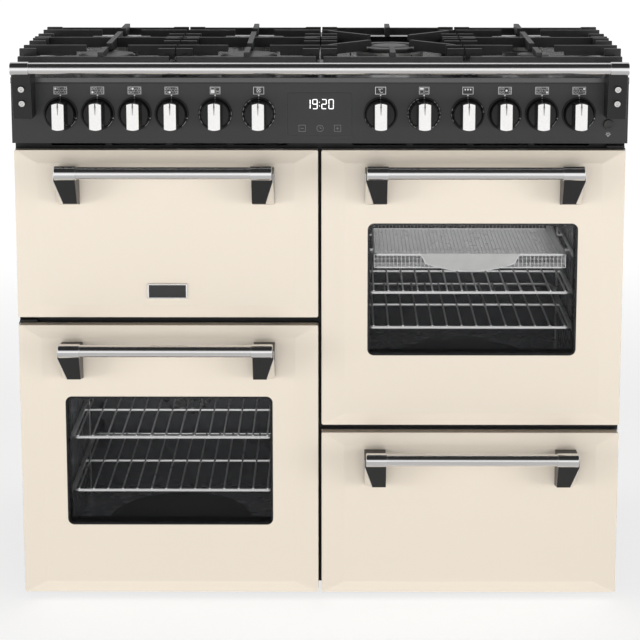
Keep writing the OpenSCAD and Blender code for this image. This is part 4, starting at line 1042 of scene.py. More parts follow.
def knob_form(x, z, front):
    """Skirt, rim, grip and pointer of one knob."""
    shape = Shape()
    skirt = eased([
        (0, 0.5 * mm, 0), (27.5 * mm, 0.5 * mm, 0.3 * mm), (27.5 * mm, 3.5 * mm, 0.9 * mm),
        (25.4 * mm, 3.5 * mm, 0.4 * mm), (25.2 * mm, 2.6 * mm, 0.2 * mm), (24.6 * mm, 3.4 * mm, 0.3 * mm),
        (22.4 * mm, 13 * mm, 1.6 * mm), (0, 13.4 * mm, 0),
    ])
    shape.turned([(r, -d) for r, d in skirt], (x, face_y, z), "Y", steps=72)
    flank_y, face_low = face_y - 11.5 * mm, front + 3.2 * mm
    body = [(25.5, 45.4, flank_y), (24.8, 45.3, flank_y - 3 * mm), (20.4, 44.9, face_low)]
    shape.loft([arched_outline(x, z, w, h, y) for w, h, y in body], 0)
    bar = [(19.6, 44.6, face_low), (19.6, 44.6, front + 0.9 * mm), (19.2, 44.2, front + 0.25 * mm),
           (18.5, 43.5, front)]
    shape.loft([arched_outline(x, z, w, h, y) for w, h, y in bar], 1)
    # The slot and the groove are flush inlays, not cuts: their black and grey paint the shade of a slot and
    # a groove.
    slot_low = (x - 0.9 * mm, front - 0.06 * mm, z + 15.5 * mm)
    slot_high = (x + 0.9 * mm, front + mm, z + 22 * mm)
    shape.block(slot_low, slot_high, ease=0.1 * mm, finish=2)
    groove = [(1.5, 17.5), (0.5, 3.0)]
    shape.wrapped([
        (x + s * w * mm, y, z + h * mm) for w, h in groove for s in (-1, 1)
        for y in (front - 0.04 * mm, front + 0.5 * mm)
    ], ease=0, finish=3)
    return shape


for node in knob_nodes:
    spot = middle(node)
    knob = knob_form(spot.x, spot.z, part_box(node)[0].y)
    takes_over(node, knob, [knob_black, grip_chrome, socket_black, pointer_grey])
print(len(knob_nodes), "knobs dressed")

# %% [markdown]
# ## Prints
# White dots mark each knob's rest position. Above each dot is its symbol: which burner or oven
# it controls, the oven function, the temperature or the grill. The scales are printed on the
# rims of the knobs and turn with them: a dot and an arc for the large and the small flame on
# the burner knobs, and rows of dashes on the oven knobs.


# %% Ink: flat bars, arcs and discs
class Ink(Shape):
    """Flat ink, drawn in millimetres right of and above a centre on a plane across Y."""

    def __init__(self, plane):
        super().__init__()
        self.plane = plane
        self.centre = (0.0, 0.0)

    def at(self, x, z):
        self.centre = (x, z)
        return self

    def outline(self, points):
        places = [(self.centre[0] + x * mm, self.plane, self.centre[1] + z * mm) for x, z in points]
        self.mesh.faces.new([self.mesh.verts.new(p) for p in places])

    def bar(self, x0, z0, x1, z1, width):
        along = Vector((x1 - x0, z1 - z0)).normalized() * width / 2
        nx, nz = -along.y, along.x
        self.outline([(x0 - nx, z0 - nz), (x1 - nx, z1 - nz), (x1 + nx, z1 + nz), (x0 + nx, z0 + nz)])

    def arc(self, x, z, radius, width, start=0, end=360):
        count = max(6, round(abs(end - start) / 15))
        far, near = radius + width / 2, max(radius - width / 2, 0.01)
        for i in range(count):
            a, b = (start + (end - start) * (i + k) / count for k in (0, 1))
            spots = (polar(far, a), polar(far, b), polar(near, b), polar(near, a))
            self.outline([(x + dx, z + dz) for dx, dz in spots])

    def disc(self, x, z, radius):
        spots = (polar(radius, 30 * i) for i in range(12))
        self.outline([(x + dx, z + dz) for dx, dz in spots])

    def frame(self, x, z, width, height, line):
        w, h = width / 2, height / 2
        for edge_z in (z - h, z + h):
            self.bar(x - w - line / 2, edge_z, x + w + line / 2, edge_z, line)
        for edge_x in (x - w, x + w):
            self.bar(edge_x, z - h + line / 2, edge_x, z + h - line / 2, line)


print("ink helpers ready")

# %% Symbols and scales
RIM = 26.1


def burner_symbol(ink, lit):
    """Plan of the seven burners with one of them lit."""
    ink.frame(0, 0, 21, 11.5, 0.5)
    spots = [(-8, 2.8), (-8, -2.8), (-3, 2.8), (-3, -2.8), (2.6, 0), (8, -2.8), (8, 2.8)]
    for i, (x, z) in enumerate(spots):
        if i == lit:
            ink.disc(x, z, 1.9)
        else:
            ink.arc(x, z, 1.8 if i != 4 else 2.5, 0.4)


def oven_symbol(ink, filled):
    """Front of the cooker with one of its four openings filled."""
    ink.frame(0, 0, 16, 11.4, 0.5)
    cells = [(-3.9, 3.1, 6.2, 3.0), (-3.9, -1.7, 6.2, 5.4), (3.9, 1.9, 6.2, 5.4), (3.9, -2.9, 6.2, 3.0)]
    for i, (x, z, w, h) in enumerate(cells):
        if i == filled:
            ink.bar(x - w / 2, z, x + w / 2, z, h)
        else:
            ink.frame(x, z, w - 0.4, h - 0.4, 0.35)


def function_symbol(ink):
    ink.frame(0, 0, 16.6, 11.4, 0.6)
    ink.arc(0, 0, 3.6, 0.4)
    for turn in range(4):
        ink.bar(0, 0, *polar(3.2, 45 + 90 * turn), 0.7)
    ink.bar(-4.2, 4.4, 4.2, 4.4, 0.45)


def heat_symbol(ink):
    ink.frame(0, 0, 16.6, 11.4, 0.8)
    ink.arc(-2.6, 2.2, 0.9, 0.4)
    ink.arc(1.6, 0, 3.0, 0.7, 50, 310)


def grill_symbol(ink):
    ink.frame(0, 0, 16.8, 11.4, 0.6)
    for x in (-4.3, 0, 4.3):
        ink.outline([(x - 1.5, 3.0), (x, -0.6), (x + 1.5, 3.0)])


def rim_scale(ink, spans, length, pitch):
    """Dashes along the rim of a knob, in degrees."""
    for start, end in spans:
        while start < end:
            ink.arc(0, 0, RIM, 0.6, start, start + length)
            start += pitch


print("symbols and scales ready")

# %% Prints on the fascia and the knobs
symbols = [lambda ink, lit=lit: burner_symbol(ink, lit) for lit in range(7)]
symbols[4:4] = [
    lambda ink: oven_symbol(ink, 1), function_symbol, heat_symbol,
    lambda ink: oven_symbol(ink, 0), grill_symbol,
]
dot_rise, symbol_rise = 29.9 * mm, 37.8 * mm
white = Ink(face_y - 0.1 * mm)
for node, symbol in zip(knob_nodes, symbols):
    x = middle(node).x
    white.at(x, knob_z + dot_rise).disc(0, 0, 1.15)
    symbol(white.at(x, knob_z + symbol_rise))
lamp = middle("light_button")
white.at(lamp.x, lamp.z - 17.5 * mm).arc(0, 1, 2.1, 0.45)
white.bar(-0.9, -2.2, 0.9, -2.2, 0.5)
for turn in (0, 45, 90, 135, 180):
    (x0, z0), (x1, z1) = polar(3.1, turn), polar(4.2, turn)
    white.bar(x0, 1 + z0, x1, 1 + z1, 0.4)
white.piece("fascia_symbols", home("fascia"), white_ink, flat=True)
dashed = {
    "knob_left_oven": ([(150, 215), (-40, 0)], 12, 18), "knob_function": ([(-50, 50), (120, 250)], 11, 18),
    "knob_temperature": ([(200, 250)], 3, 20), "knob_grill_oven": ([(-60, 60), (110, 250)], 9, 15),
    "knob_grill": ([(160, 215), (5, 30)], 8, 20),
}
rim_plane = face_y - 3.56 * mm
for node in knob_nodes:
    spot = middle(node)
    marks = Ink(rim_plane).at(spot.x, spot.z)
    marks.disc(0, RIM, 0.6)
    if node in dashed:
        rim_scale(marks, *dashed[node])
    else:
        marks.disc(*polar(RIM, -15.7), 0.95)
        marks.arc(0, 0, RIM, 0.6, -50, -26)
    marks.piece(node + "_scale", home(node), rim_ink, flat=True)
print("symbols and scales printed")

# %% [markdown]
# ## Clock
# A gloss black panel sits flush in the fascia. White segments show the time behind it, and three
# touch symbols are printed in grey below. Each digit lights some of seven segments.

# %% Clock panel, digits and touch symbols
softened("clock_panel", clock_black, ease=0.3 * mm, least=10 * mm)
clock_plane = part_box("clock_panel")[0].y - 0.06 * mm
SEGMENTS = {"0": "abcdef", "1": "bc", "2": "abged", "9": "abcdfg"}


def digit(ink, sign):
    """One seven-segment digit whose lower left corner is the ink's centre."""
    w, h, line = 7.2, 15, 1.3
    half = h / 2
    places = {
        "a": (0, h, w, h), "b": (w, h, w, half), "c": (w, half, w, 0), "d": (0, 0, w, 0),
        "e": (0, 0, 0, half), "f": (0, half, 0, h), "g": (0, half, w, half),
    }
    for segment in SEGMENTS[sign]:
        x0, z0, x1, z1 = places[segment]
        along = Vector((x1 - x0, z1 - z0)).normalized() * 0.35
        ink.bar(x0 + along.x, z0 + along.y, x1 - along.x, z1 - along.y, line)


time_base = fascia_top - 41.3 * mm
glow = Ink(clock_plane)
for sign, x in zip("1920", (-22.6, -11.2, 3.6, 15.0)):
    digit(glow.at(x * mm, time_base), sign)
for z in (4.5, 10.5):
    glow.at(-0.4 * mm, time_base).disc(0, z, 0.75)
glow.piece("clock_digits", home("clock_panel"), clock_glow, flat=True)
touch = Ink(clock_plane)
touch_z = fascia_top - 73.3 * mm
for x in (-28.4, 29):
    touch.at(x * mm, touch_z).frame(0, 0, 10.5, 10.5, 0.5)
    touch.bar(-2.6, 0, 2.6, 0, 0.6)
touch.bar(0, -2.6, 0, 2.6, 0.6)
touch.at(0.7 * mm, touch_z).arc(0, 0, 5.3, 0.5)
touch.bar(0, 0, 0, 3.6, 0.5)
touch.bar(0, 0, 2.6, 0, 0.5)
touch.piece("clock_touch_symbols", home("clock_panel"), grey_ink, flat=True)
print("clock made")

# %% [markdown]
# The oven light has a push button with a shallow dish in its face.

# %% Light button
low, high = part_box("light_button")
button = Shape()
button.turned(
    eased([
        (0, high.y, 0), (8 * mm, high.y, 0.3 * mm), (8 * mm, low.y, 0.8 * mm),
        (6 * mm, low.y, 0.8 * mm), (4 * mm, low.y + 0.5 * mm, mm), (0, low.y + 0.6 * mm, 0),
    ]),
    (lamp.x, 0, lamp.z), "Y", steps=40,
)
made = takes_over("light_button", button, socket_black)
print(made.name)

# %% [markdown]
# ## Front rail
# The rail is the same ground tube as the handles, in longer sleeves. Its brackets lean back to
# the fascia, and two hexagon socket screws hold each of them.

# %% Rail, brackets and screws
low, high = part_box("front_rail")
rail = Shape()
centre, half = (low + high) / 2, (high.x - low.x) / 2
sleeved(rail, centre, half, tube_r=9.5 * mm, sleeve_r=10.75 * mm, sleeve_l=30 * mm)
takes_over("front_rail", rail, [steel, chrome])
low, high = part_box("rail_brackets")
brackets = Shape()
for side in (-1, 1):
    points = []
    for x in (high.x * side, (high.x - 31 * mm) * side):
        points += [(x, low.y, high.z), (x, low.y, high.z - 4 * mm), (x, low.y + 17 * mm, low.z)]
        points += [(x, face_y, high.z), (x, face_y, low.z)]
    brackets.wrapped(points, ease=1.1 * mm)
takes_over("rail_brackets", brackets, anthracite)
softened("bracket_screws", grip_chrome, ease=0.45 * mm, least=0.3 * mm)
print("rail, brackets and screws made")

# %% [markdown]
# ## Hob
# The hob is one pressed tray in black enamel with a slotted flue trim along its back and a dark
# steel strip along its front lip, whose dark tone is painted shade of the rail's shadow. It sits
# on a rubber bead, whose black line also paints the shadow gap under the hob's lip. Each burner
# is an alloy head whose flame ring is cut into teeth, under an enamelled steel cap. The teeth
# come from a Geometry Nodes recipe, because the rings differ only in count and radius.

# %% Hob tray
low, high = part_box("hob_tray")
lip_back = low.y + mm
# The front lip takes the darkened steel, which paints the rail's shadow on it.
softened(
    "hob_tray", [black, lip_steel], ease=0.55 * mm, least=30 * mm,
    choose=lambda face: 1 if face.calc_center_median().y < lip_back else 0,
)
# A black rubber bead under the tray's front and sides. It is a seal, and its dark line also paints the
# shadow gap between the hob and the fascia.
left, right = low.x + 0.5 * mm, high.x - 0.5 * mm
near_y, far_y, seam_z = low.y + 0.5 * mm, high.y - 9 * mm, low.z + 0.5 * mm
seam = Shape()
corners = ((left, far_y), (left, near_y), (right, near_y), (right, far_y))
seam.tube([(x, y, seam_z) for x, y in corners], radius=1.15 * mm, sides=12)
seam.piece("hob_gasket_shadow_line", home("hob_tray"), rubber)
support_mid = middle("pan_support_wok").y
burner_step = 126 * mm
outer_col, inner_col = 356.5 * mm, 119 * mm
large_r, medium_r, small_r, wok_radius = 47 * mm, 35 * mm, 26.5 * mm, 62 * mm
singles = [
    (-outer_col, -1, large_r), (-outer_col, 1, medium_r), (-inner_col, -1, large_r),
    (-inner_col, 1, medium_r), (outer_col, -1, small_r), (outer_col, 1, medium_r),
]
wok_centre = Vector((inner_col, support_mid, hob_z))
print("support middle at y", round(support_mid, 4))


# %% Helpers for the burners
below, seat, head_top = -31 * mm, 0.2 * mm, 16.4 * mm
heads = Shape()
caps = Shape()
ring_parts = []


def burner_head(centre, radius, cup, flange, slope_top, lip, steps):
    """Cup below the hob, flange on it and core of the flame ring, whose teeth are 4 mm apart."""
    foot, core, rim = radius + flange, radius - 7 * mm, radius - lip
    heads.turned(eased([
        (0, below, 0), (cup, below, mm), (cup, seat, 0), (foot, seat, 0), (foot, 2 * mm, 0.8 * mm),
        (core, slope_top, mm), (core, 11 * mm, 0), (rim, 11 * mm, 0.5 * mm), (rim, head_top, 0.4 * mm),
        (0, head_top, 0),
    ]), centre, "Z", steps, 0)
    low, high, ring_r = 4 * mm, 11.4 * mm, radius - 6 * mm
    count = int(round(2 * math.pi * ring_r / (4.2 * mm)))
    ring = teeth.mesh(alloy, count=count, radius=ring_r, size=(3 * mm, 2.4 * mm, high - low))
    ring_parts.append((ring, Matrix.Translation(centre + Vector((0, 0, (low + high) / 2)))))


def electrodes(centre, reach, angles):
    """Ceramic bodies with steel tips beside a flame ring."""
    parts = (
        (1, 20, [(0, 0, 0), (3, 0, 0), (3, 7, 1), (1.7, 8.5, 0.4), (0, 8.5, 0)]),
        (2, 12, [(0, 8, 0), (1.1, 8, 0), (1.1, 14, 0.5), (0, 14, 0)]),
    )
    for angle in angles:
        x, y = polar(reach, angle)
        for slot, steps, corners in parts:
            profile = eased([(r * mm, z * mm, ease * mm) for r, z, ease in corners])
            heads.turned(profile, (centre.x + x, centre.y + y, hob_z), "Z", steps, slot)


def cap(centre, corners, steps):
    """Enamelled cap or ring on a head, from corners in millimetres."""
    caps.turned(eased([(r * mm, z * mm, ease * mm) for r, z, ease in corners], 5), centre, "Z", steps, 0)


print("burner helpers ready")

# %% Burner heads, caps and electrodes
for x, row, radius in singles:
    centre = Vector((x, support_mid + row * burner_step, hob_z))
    cup = min(radius - 9 * mm, 30 * mm)
    burner_head(centre, radius, cup, flange=2 * mm, slope_top=2.6 * mm, lip=4 * mm, steps=72)
    r = radius / mm
    cap(centre, [
        (0, 16.4, 0), (r - 2, 16.4, 0.4), (r, 17.5, 0.8), (r, 21.8, 1.2), (r - 4, 23.8, 6), (0, 24, 0)
    ], steps=72)
    electrodes(centre, radius + 6 * mm, (150, 25))
cup = wok_radius - 13 * mm
burner_head(wok_centre, wok_radius, cup, flange=6 * mm, slope_top=3 * mm, lip=5 * mm, steps=96)
electrodes(wok_centre, wok_radius + 10 * mm, (200, 250, 300))
cap(wok_centre, [
    (41, 16.4, 0), (60.5, 16.4, 0.4), (62, 17.6, 0.8), (62, 21.8, 1.2), (58.5, 23.8, 4),
    (43, 23.8, 1.5), (41, 21, 1), (41, 16.4, 0),
], steps=96)
cap(wok_centre, [
    (0, 16.4, 0), (33, 16.4, 0.4), (34, 17.4, 0.6), (34, 22.2, 1), (28, 24.6, 8), (0, 24.8, 0)
], steps=72)
takes_over("burner_heads", heads, [alloy, porcelain, sheath])
flame_rings = dressed("flame_rings", joined_mesh(ring_parts, "flame_rings"), home("burner_heads"), alloy)
takes_over("burner_caps", caps, cap_coat)
print(len(flame_rings.data.polygons), "faces in the flame rings")

# %% [markdown]
# ## Pan supports
# The supports are cast iron with a matt enamel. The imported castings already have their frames,
# teeth and fingers, and a casting's edges are never sharp, so each gets a round.

# %% Pan supports
for node in ("pan_support_left", "pan_support_centre_left", "pan_support_wok", "pan_support_right"):
    made = softened(node, iron, ease=1.0 * mm, least=3 * mm)
    print(made.name, len(made.data.polygons), "faces")

# %% [markdown]
# ## Ovens
# The cavities are folded sheet in speckled oven enamel, and their imported solids are right as
# they are. A shallow oval dish is pressed in the floor of each tall oven; it is enamelled black,
# which partly paints the shade of the recess.


# %% Cavities and floor dishes
def floor_dish(node):
    """Pressed oval in an oven floor: a low rim round a shallow dish."""
    low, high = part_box(node)
    flange, half_w, half_d = 10 * mm, 128 * mm, 152 * mm
    cx, cy = (low.x + high.x) / 2, low.y + 190 * mm
    floor_z = low.z + flange
    profile = eased([
        (1.0, 0, 0), (0.985, 2.2 * mm, 0), (0.95, 2.4 * mm, 0), (0.88, 0.5 * mm, 0), (0, 0.5 * mm, 0)
    ])
    shape = Shape()
    rings = []
    for share, rise_z in profile[:-1]:
        turns = [polar(share, 5 * i) for i in range(72)]
        rings.append([Vector((cx + half_w * x, cy + half_d * y, floor_z + rise_z)) for x, y in turns])
    shape.loft(rings)
    # Black enamel on the dish, unlike the speckled cavity: partly painted shade of the shallow recess.
    made = shape.piece(node + "_dish", home(node), black)
    print(made.name, len(made.data.polygons), "faces")


for node in ("grill_oven_liner", "left_oven_liner", "right_oven_liner"):
    coated(node, cavity)
floor_dish("left_oven_liner")
floor_dish("right_oven_liner")

# %% [markdown]
# ### Shelves
# A shelf is a loop of chrome wire with rods welded across it. The loop is one tube with round
# corners, and the rods are a row from the `rods` recipe. It slides on a ladder of thinner wire.


# %% Wire shelves
def level_loop(x0, x1, y0, y1, z, corner):
    """Level rounded rectangle as a closed path."""
    flat = rounded_outline((x0 + x1) / 2, (y0 + y1) / 2, x1 - x0, y1 - y0, corner, 0, 5)
    return [Vector((p.x, p.z, z)) for p in flat]


shelf_low, shelf_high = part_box("oven_shelves")
shelf_half = middle("left_door_skin").x - shelf_low.x
front_wire, back_wire = shelf_low.y + 2.5 * mm, shelf_high.y - 2.5 * mm
rod_pitch = 24.7 * mm
left_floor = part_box("left_door_skin")[0].z
right_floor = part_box("right_door_skin")[0].z
grill_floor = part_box("grill_door_skin")[0].z
left_x, right_x = middle("left_door_skin").x, middle("right_door_skin").x
shelf_places = [
    (left_x, left_floor + 158.5 * mm), (left_x, left_floor + 252 * mm),
    (right_x, right_floor + 151.3 * mm), (right_x, right_floor + 211.3 * mm),
    (left_x, grill_floor + 100 * mm),
]
wire_r, rod_r = 2.5 * mm, 1.6 * mm
loops = Shape()
rod_parts = []
for x, z in shelf_places:
    reach = shelf_half - wire_r
    loop = level_loop(x - reach, x + reach, front_wire, back_wire, z, 9 * mm)
    loops.tube(loop, wire_r, closed=True)
    middle_y = (front_wire + back_wire) / 2
    loops.tube([(x - reach, middle_y, z), (x + reach, middle_y, z)], wire_r)
    place = Matrix.Translation((x, middle_y, z + wire_r))
    row = rods.mesh(wire_chrome, count=14, pitch=rod_pitch, length=back_wire - front_wire + mm, radius=rod_r)
    rod_parts.append((row, place))
takes_over("oven_shelves", loops, wire_chrome, "shelf_loops")
row = dressed("shelf_rods", joined_mesh(rod_parts, "shelf_rods"), home("oven_shelves"), wire_chrome)
print(len(shelf_places), "shelves,", len(row.data.polygons), "faces of rods")

# %% [markdown]
# ### Air fry basket
# A fine net of thin wire hangs from a rim wire, and a plate in satin metal closes its front. The
# plate has steep shoulders above a shallow curve, with a bright wire along its lower edge.

# %% Air fry basket
low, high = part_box("air_fry_basket")
rim_z = right_floor + 276.3 * mm
base_z = rim_z - 22 * mm
half = shelf_half - 12 * mm
near_y, far_y = front_wire, back_wire
basket = Shape()
for z, thick in ((rim_z, 2.3 * mm), (base_z, 1.4 * mm)):
    loop = level_loop(right_x - half, right_x + half, near_y, far_y, z, 8 * mm)
    basket.tube(loop, thick, closed=True)
for side in (-1, 1):
    near_x, far_x = right_x + side * half, right_x + side * (half + 11.5 * mm)
    for y in (near_y + 40 * mm, (near_y + far_y) / 2, far_y - 40 * mm):
        basket.tube([(near_x, y, rim_z), (far_x, y, rim_z)], radius=2.3 * mm)
takes_over("air_fry_basket", basket, wire_chrome, "basket_rims")
depth, drop = far_y - near_y, rim_z - base_z
mesh_pitch = 6.5 * mm
wire = 0.55 * mm


def net_panel(width, height):
    across, along = max(2, round(width / mesh_pitch) + 1), max(2, round(height / mesh_pitch) + 1)
    return net.mesh(wire_chrome, width=width, depth=height, across=across, along=along, radius=wire)


centre = Vector((right_x, (near_y + far_y) / 2, base_z))
panels = [(net_panel(2 * half, depth), Matrix.Translation(centre))]
for y in (near_y, far_y):
    place = Matrix.Translation((right_x, y, base_z + drop / 2))
    panels.append((net_panel(2 * half, drop), place @ UPRIGHT))
for side in (-1, 1):
    place = Matrix.Translation((right_x + side * half, centre.y, base_z + drop / 2))
    panels.append((net_panel(depth, drop), place @ Matrix.Rotation(math.pi / 2, 4, "Z") @ UPRIGHT))
made = dressed("basket_net", joined_mesh(panels, "basket_net"), home("air_fry_basket"), wire_chrome)
print(len(made.data.polygons), "faces in the net")

# %% Basket plate
plate_top = rim_z + 3 * mm
foot, depth_mid, plate_h, plate_half, waist = 74 * mm, 13 * mm, 30 * mm, 86 * mm, 12 * mm
curve = [(foot * t, -plate_h + depth_mid * t * t) for t in [i / 12 for i in range(-12, 13)]]
shoulder = [(80 * mm, -5 * mm), (plate_half, 0)]
edge = [(-x, z) for x, z in shoulder[::-1]] + curve + shoulder
front_plane, back_plane = near_y - 5.5 * mm, near_y - 3.5 * mm
plate = Shape()
rings = []
for inset, y in ((0, back_plane), (0, front_plane + 0.4 * mm), (0.4 * mm, front_plane)):
    wide, tall = 1 - inset / plate_half, 1 - inset / plate_h
    rings.append([
        Vector((right_x + x * wide, y, plate_top - waist + (z + waist) * tall)) for x, z in edge
    ])
plate.loft(rings)
rim = [(right_x + x, front_plane + mm, plate_top + z) for x, z in edge]
plate.tube(rim, radius=1.2 * mm, finish=1, sides=8)
made = plate.piece("basket_plate", home("air_fry_basket"), [alloy, wire_chrome])
print(made.name, len(made.data.polygons), "faces")

# %% [markdown]
# ## Seals, frame and casing
# A round silicone bead backs each flat seal. The frame, the side panels and the hinge plates are
# powder coated, and everything behind and below is plain zinc-coated sheet.

# %% Seals
beads = []
lap = 4 * mm
for node in ("grill_oven_liner", "left_oven_liner", "right_oven_liner"):
    mid, size = middle(node), extent(node)
    loop = bead.mesh(rubber, width=size.x - lap, height=size.z - lap, corner=10 * mm, radius=1.3 * mm)
    place = Matrix.Translation((mid.x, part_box("door_seals")[0].y + 1.2 * mm, mid.z)) @ UPRIGHT
    beads.append((loop, place))
dressed("seal_beads", joined_mesh(beads, "seal_beads"), home("door_seals"), rubber)
print(len(beads), "seal beads")

# %% Sheet parts
softened("carcass_panels", coat, ease=0.5 * mm, least=100 * mm)
softened("hinge_plates", anthracite, ease=0.4 * mm, least=6 * mm)
softened("terminal_box", socket_black, ease=0.8 * mm, least=10 * mm)
softened("levelling_feet", zinc, ease=0.5 * mm, least=1.2 * mm)
for node, finish in {
    "front_frame": coat, "back_panel": zinc, "door_seals": rubber, "shelf_runners": wire_chrome,
    "heating_elements": sheath, "fan_motors": zinc, "left_oven_fan": alloy,
    "right_oven_fan": alloy, "gas_rail": brass, "control_valves": brass, "drawer_runners": zinc,
}.items():
    coated(node, finish)
print("sheet parts finished")

# %% [markdown]
# ### Back
# The back panel is screwed to the side panels, and so is the lid to the terminal box. A
# rating plate is riveted on beside it. The gas inlet is a threaded brass nipple, and its thread
# is a row of rings from a turned profile.


# %% Back screws, terminal lid and rating plate
def pan_screw(shape, x, y, z, r=4 * mm):
    """Low round head with one slot, facing backwards."""
    head = [(0, 0, 0), (r, 0, 0), (r, 0.3 * r, 0.2 * r), (0.55 * r, 0.55 * r, 0.25 * r), (0, 0.57 * r, 0)]
    shape.turned(eased(head), (x, y, z), "Y", steps=20)
    slot, reach = 0.1 * r, 0.6 * r
    shape.block((x - slot, y + 0.5 * r, z - reach), (x + slot, y + 0.6 * r, z + reach), ease=0, finish=1)


def stepped_slab(name, body, finish, x, z, width, height, corner, y, steps):
    """Upright slab whose rim follows (inset, distance) steps in millimetres."""
    shape = Shape()
    shape.loft([
        rounded_outline(x, z, width - 2 * e * mm, height - 2 * e * mm, corner, y + d * mm) for e, d in steps
    ])
    shape.piece(name, body, finish)


low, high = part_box("back_panel")
screws = Shape()
rows = 7
for side in (-1, 1):
    for i in range(rows):
        z = low.z + 40 * mm + i * (high.z - low.z - 80 * mm) / (rows - 1)
        pan_screw(screws, side * (high.x - 12 * mm), high.y, z)
box_low, box_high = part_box("terminal_box")
lid_w, lid_h = box_high.x - box_low.x - 8 * mm, 72 * mm
lid_x, lid_z = (box_low.x + box_high.x) / 2, box_high.z - 4 * mm - lid_h / 2
stepped_slab(
    "terminal_lid", home("terminal_box"), socket_black, lid_x, lid_z,
    width=lid_w, height=lid_h, corner=5 * mm, y=box_high.y,
    steps=((0, -0.2), (0, 1.6), (0.6, 2.3), (1.6, 2.6)),
)
for x in (lid_x - lid_w / 2 + 7 * mm, lid_x + lid_w / 2 - 7 * mm):
    for z in (lid_z - lid_h / 2 + 7 * mm, lid_z + lid_h / 2 - 7 * mm):
        pan_screw(screws, x, box_high.y + 2.5 * mm, z, r=3 * mm)
plate_x = box_low.x - 90 * mm
stepped_slab(
    "rating_plate", home("back_panel"), alloy, plate_x, lid_z,
    width=86 * mm, height=46 * mm, corner=3 * mm, y=high.y,
    steps=((0, -0.2), (0, 0.5), (0.3, 0.8)),
)
for side in (-1, 1):
    pan_screw(screws, plate_x + side * 39 * mm, high.y + 0.7 * mm, lid_z, r=2 * mm)
screws.piece("back_screws", home("back_panel"), [zinc, socket_black])
print("back screws, terminal lid and rating plate made")

# %% Inlet thread
inlet_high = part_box("gas_rail")[1]
inlet_x, inlet_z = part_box("carcass_panels")[0].x + 60 * mm, middle("knob_grill").z
pitch, root_r, crest_r = 1.6 * mm, 10.3 * mm, 10.9 * mm
ridge = [(root_r, -0.7 * mm), (crest_r, -0.1 * mm), (crest_r, 0.1 * mm), (root_r, 0.7 * mm)]
thread = Shape()
for i in range(9):
    thread.turned(ridge, (inlet_x, inlet_high.y - 1.2 * mm - i * pitch, inlet_z), "Y", steps=40)
thread.piece("inlet_thread", home("gas_rail"), brass, sharp=20)
print("inlet thread made")

# %% [markdown]
# ## Studio
# The cooker stands on a pale floor in front of nothing: the floor's own light lifts it to white
# for the camera, and the cooker's shadow still darkens it. Two broad lamps at the sides light
# the sloping borders, a wide one in front lights the enamel evenly, and the top stays weaker,
# so the upper borders read darker than the lower ones.

# %% Floor and world
floor_mesh = bmesh.new()
bmesh.ops.create_grid(floor_mesh, x_segments=1, y_segments=1, size=30.0)
floor = placed("studio_floor", baked(floor_mesh, "studio_floor"))
paper = Finish("studio_paper", (0.5, 0.5, 0.5), 0.9)
paper.shades(0.985, 0.5)
paper.set("Specular IOR Level", 0.0)
x, y = paper.along(0), paper.along(1)
away = paper.step(x * x + y * y, 1.4, 10.0)
for_mirrors = paper.add("ShaderNodeLightPath", out="Is Glossy Ray")
nearby = 0.74 - for_mirrors * 0.34
paper.set("Emission Color", nearby + away * (1 - nearby))
paper.set("Emission Strength", 1.0)
floor.data.materials.append(paper.material)

world = bpy.data.worlds.new("studio_world")
world.use_nodes = True
bpy.context.scene.world = world
air = Graph(world.node_tree)
world.node_tree.nodes.clear()
direction = air.add("ShaderNodeTexCoord", out="Generated")
height = air.add("ShaderNodeSeparateXYZ", None, {0: direction}, out=2)
ramp = air.add("ShaderNodeValToRGB", {"stops": [
    (0.0, grey(0.5)), (0.55, grey(0.42)), (0.75, grey(0.12)), (1.0, grey(0.06)),
]}, {0: height * 0.5 + 0.5})
mirror_ramp = air.add("ShaderNodeValToRGB", {"stops": [
    (0.0, grey(1.0)), (0.6, grey(1.0)), (0.66, grey(0.5)), (0.71, grey(0.04)), (1.0, grey(0.03)),
]}, {0: height * 0.5 + 0.5})
behind = air.add("ShaderNodeSeparateXYZ", None, {0: direction}, out=1)
backdrop = air.step(behind, 0.1, 0.35) * air.step(height, 0.4, 0.5) * air.step(height, 0.95, 0.85)
path = world.node_tree.nodes.new("ShaderNodeLightPath")
surround = air.add("ShaderNodeBackground", None, {"Color": ramp, "Strength": 1.0})
mirrored = air.add("ShaderNodeBackground", None, {"Color": mirror_ramp + backdrop * 0.85, "Strength": 1.0})
white_back = air.add("ShaderNodeBackground", None, {"Color": grey(1.0), "Strength": 1.0})
for ray, other in (("Is Glossy Ray", mirrored), ("Is Camera Ray", white_back)):
    share = Wire(air, path.outputs[ray])
    surround = air.add("ShaderNodeMixShader", None, {0: share, 1: surround, 2: other})
air.add("ShaderNodeOutputWorld", None, {0: surround})
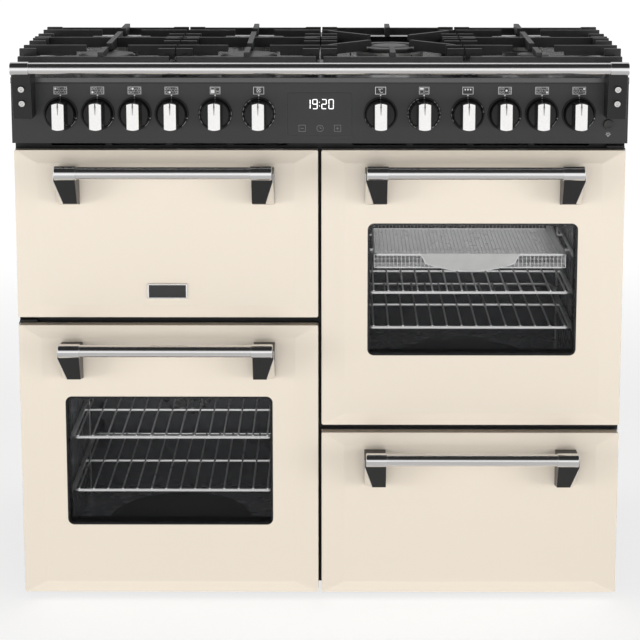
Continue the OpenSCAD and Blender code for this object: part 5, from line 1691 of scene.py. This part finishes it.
print("floor and world made")


# %% Lamps
def lamp_panel(name, place, aim, width, height, power, mirrored=False):
    """Soft rectangular lamp that faces a point."""
    light = bpy.data.lights.new(name, "AREA")
    light.shape = "RECTANGLE"
    light.size, light.size_y = width, height
    light.energy = power
    made = placed(name, light)
    made.location = place
    made.rotation_euler = (Vector(aim) - Vector(place)).to_track_quat("-Z", "Y").to_euler()
    made.visible_camera = False
    made.visible_glossy = mirrored
    return made


aim = (0, -0.2, 0.5)
lamp_panel("left_lamp", (-3.2, -2.4, 0.6), aim, width=2.0, height=1.1, power=38)
lamp_panel("right_lamp", (3.2, -2.4, 0.6), aim, width=2.0, height=1.1, power=38)
lamp_panel("front_lamp", (0, -5.0, 0.7), aim, width=3.0, height=1.2, power=34)
lamp_panel("top_lamp", (0, 0.3, 3.4), (0, 0, 0.9), width=2.0, height=1.6, power=10)
for node in ("left_door_glass", "right_door_glass"):
    spot = middle(node)
    spot.y = face_y + 62 * mm
    inwards = spot + Vector((0, 1, 0))
    lamp_panel(node + "_lamp", spot, inwards, width=0.34, height=0.2, power=0.2, mirrored=True)
    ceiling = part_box(node.replace("door_glass", "oven_liner"))[1].z
    roof = Vector((spot.x, face_y + 0.24, ceiling - 16 * mm))
    down = roof - Vector((0, 0.001, 1))
    lamp_panel(node + "_roof_lamp", roof, down, width=0.34, height=0.32, power=0.4, mirrored=True)
print("lamps made")

# %% [markdown]
# ## Camera
# A long lens at just above hob height, almost square to the front, as in the photograph.

# %% Camera
camera_data = bpy.data.cameras.new("camera")
camera_data.lens = 123.9
camera_data.sensor_width = 36
camera_data.shift_x, camera_data.shift_y = -0.0132, -0.16
camera = placed("camera", camera_data)
camera.location = (28.4 * mm, -3800.7 * mm, 1331.1 * mm)
camera.rotation_euler = (math.pi / 2 - 0.1856, 0, 0.004)
bpy.context.scene.camera = camera
bpy.context.scene.render.resolution_x = 640
bpy.context.scene.render.resolution_y = 640
bpy.context.scene.view_settings.view_transform = "Standard"
print("camera placed")
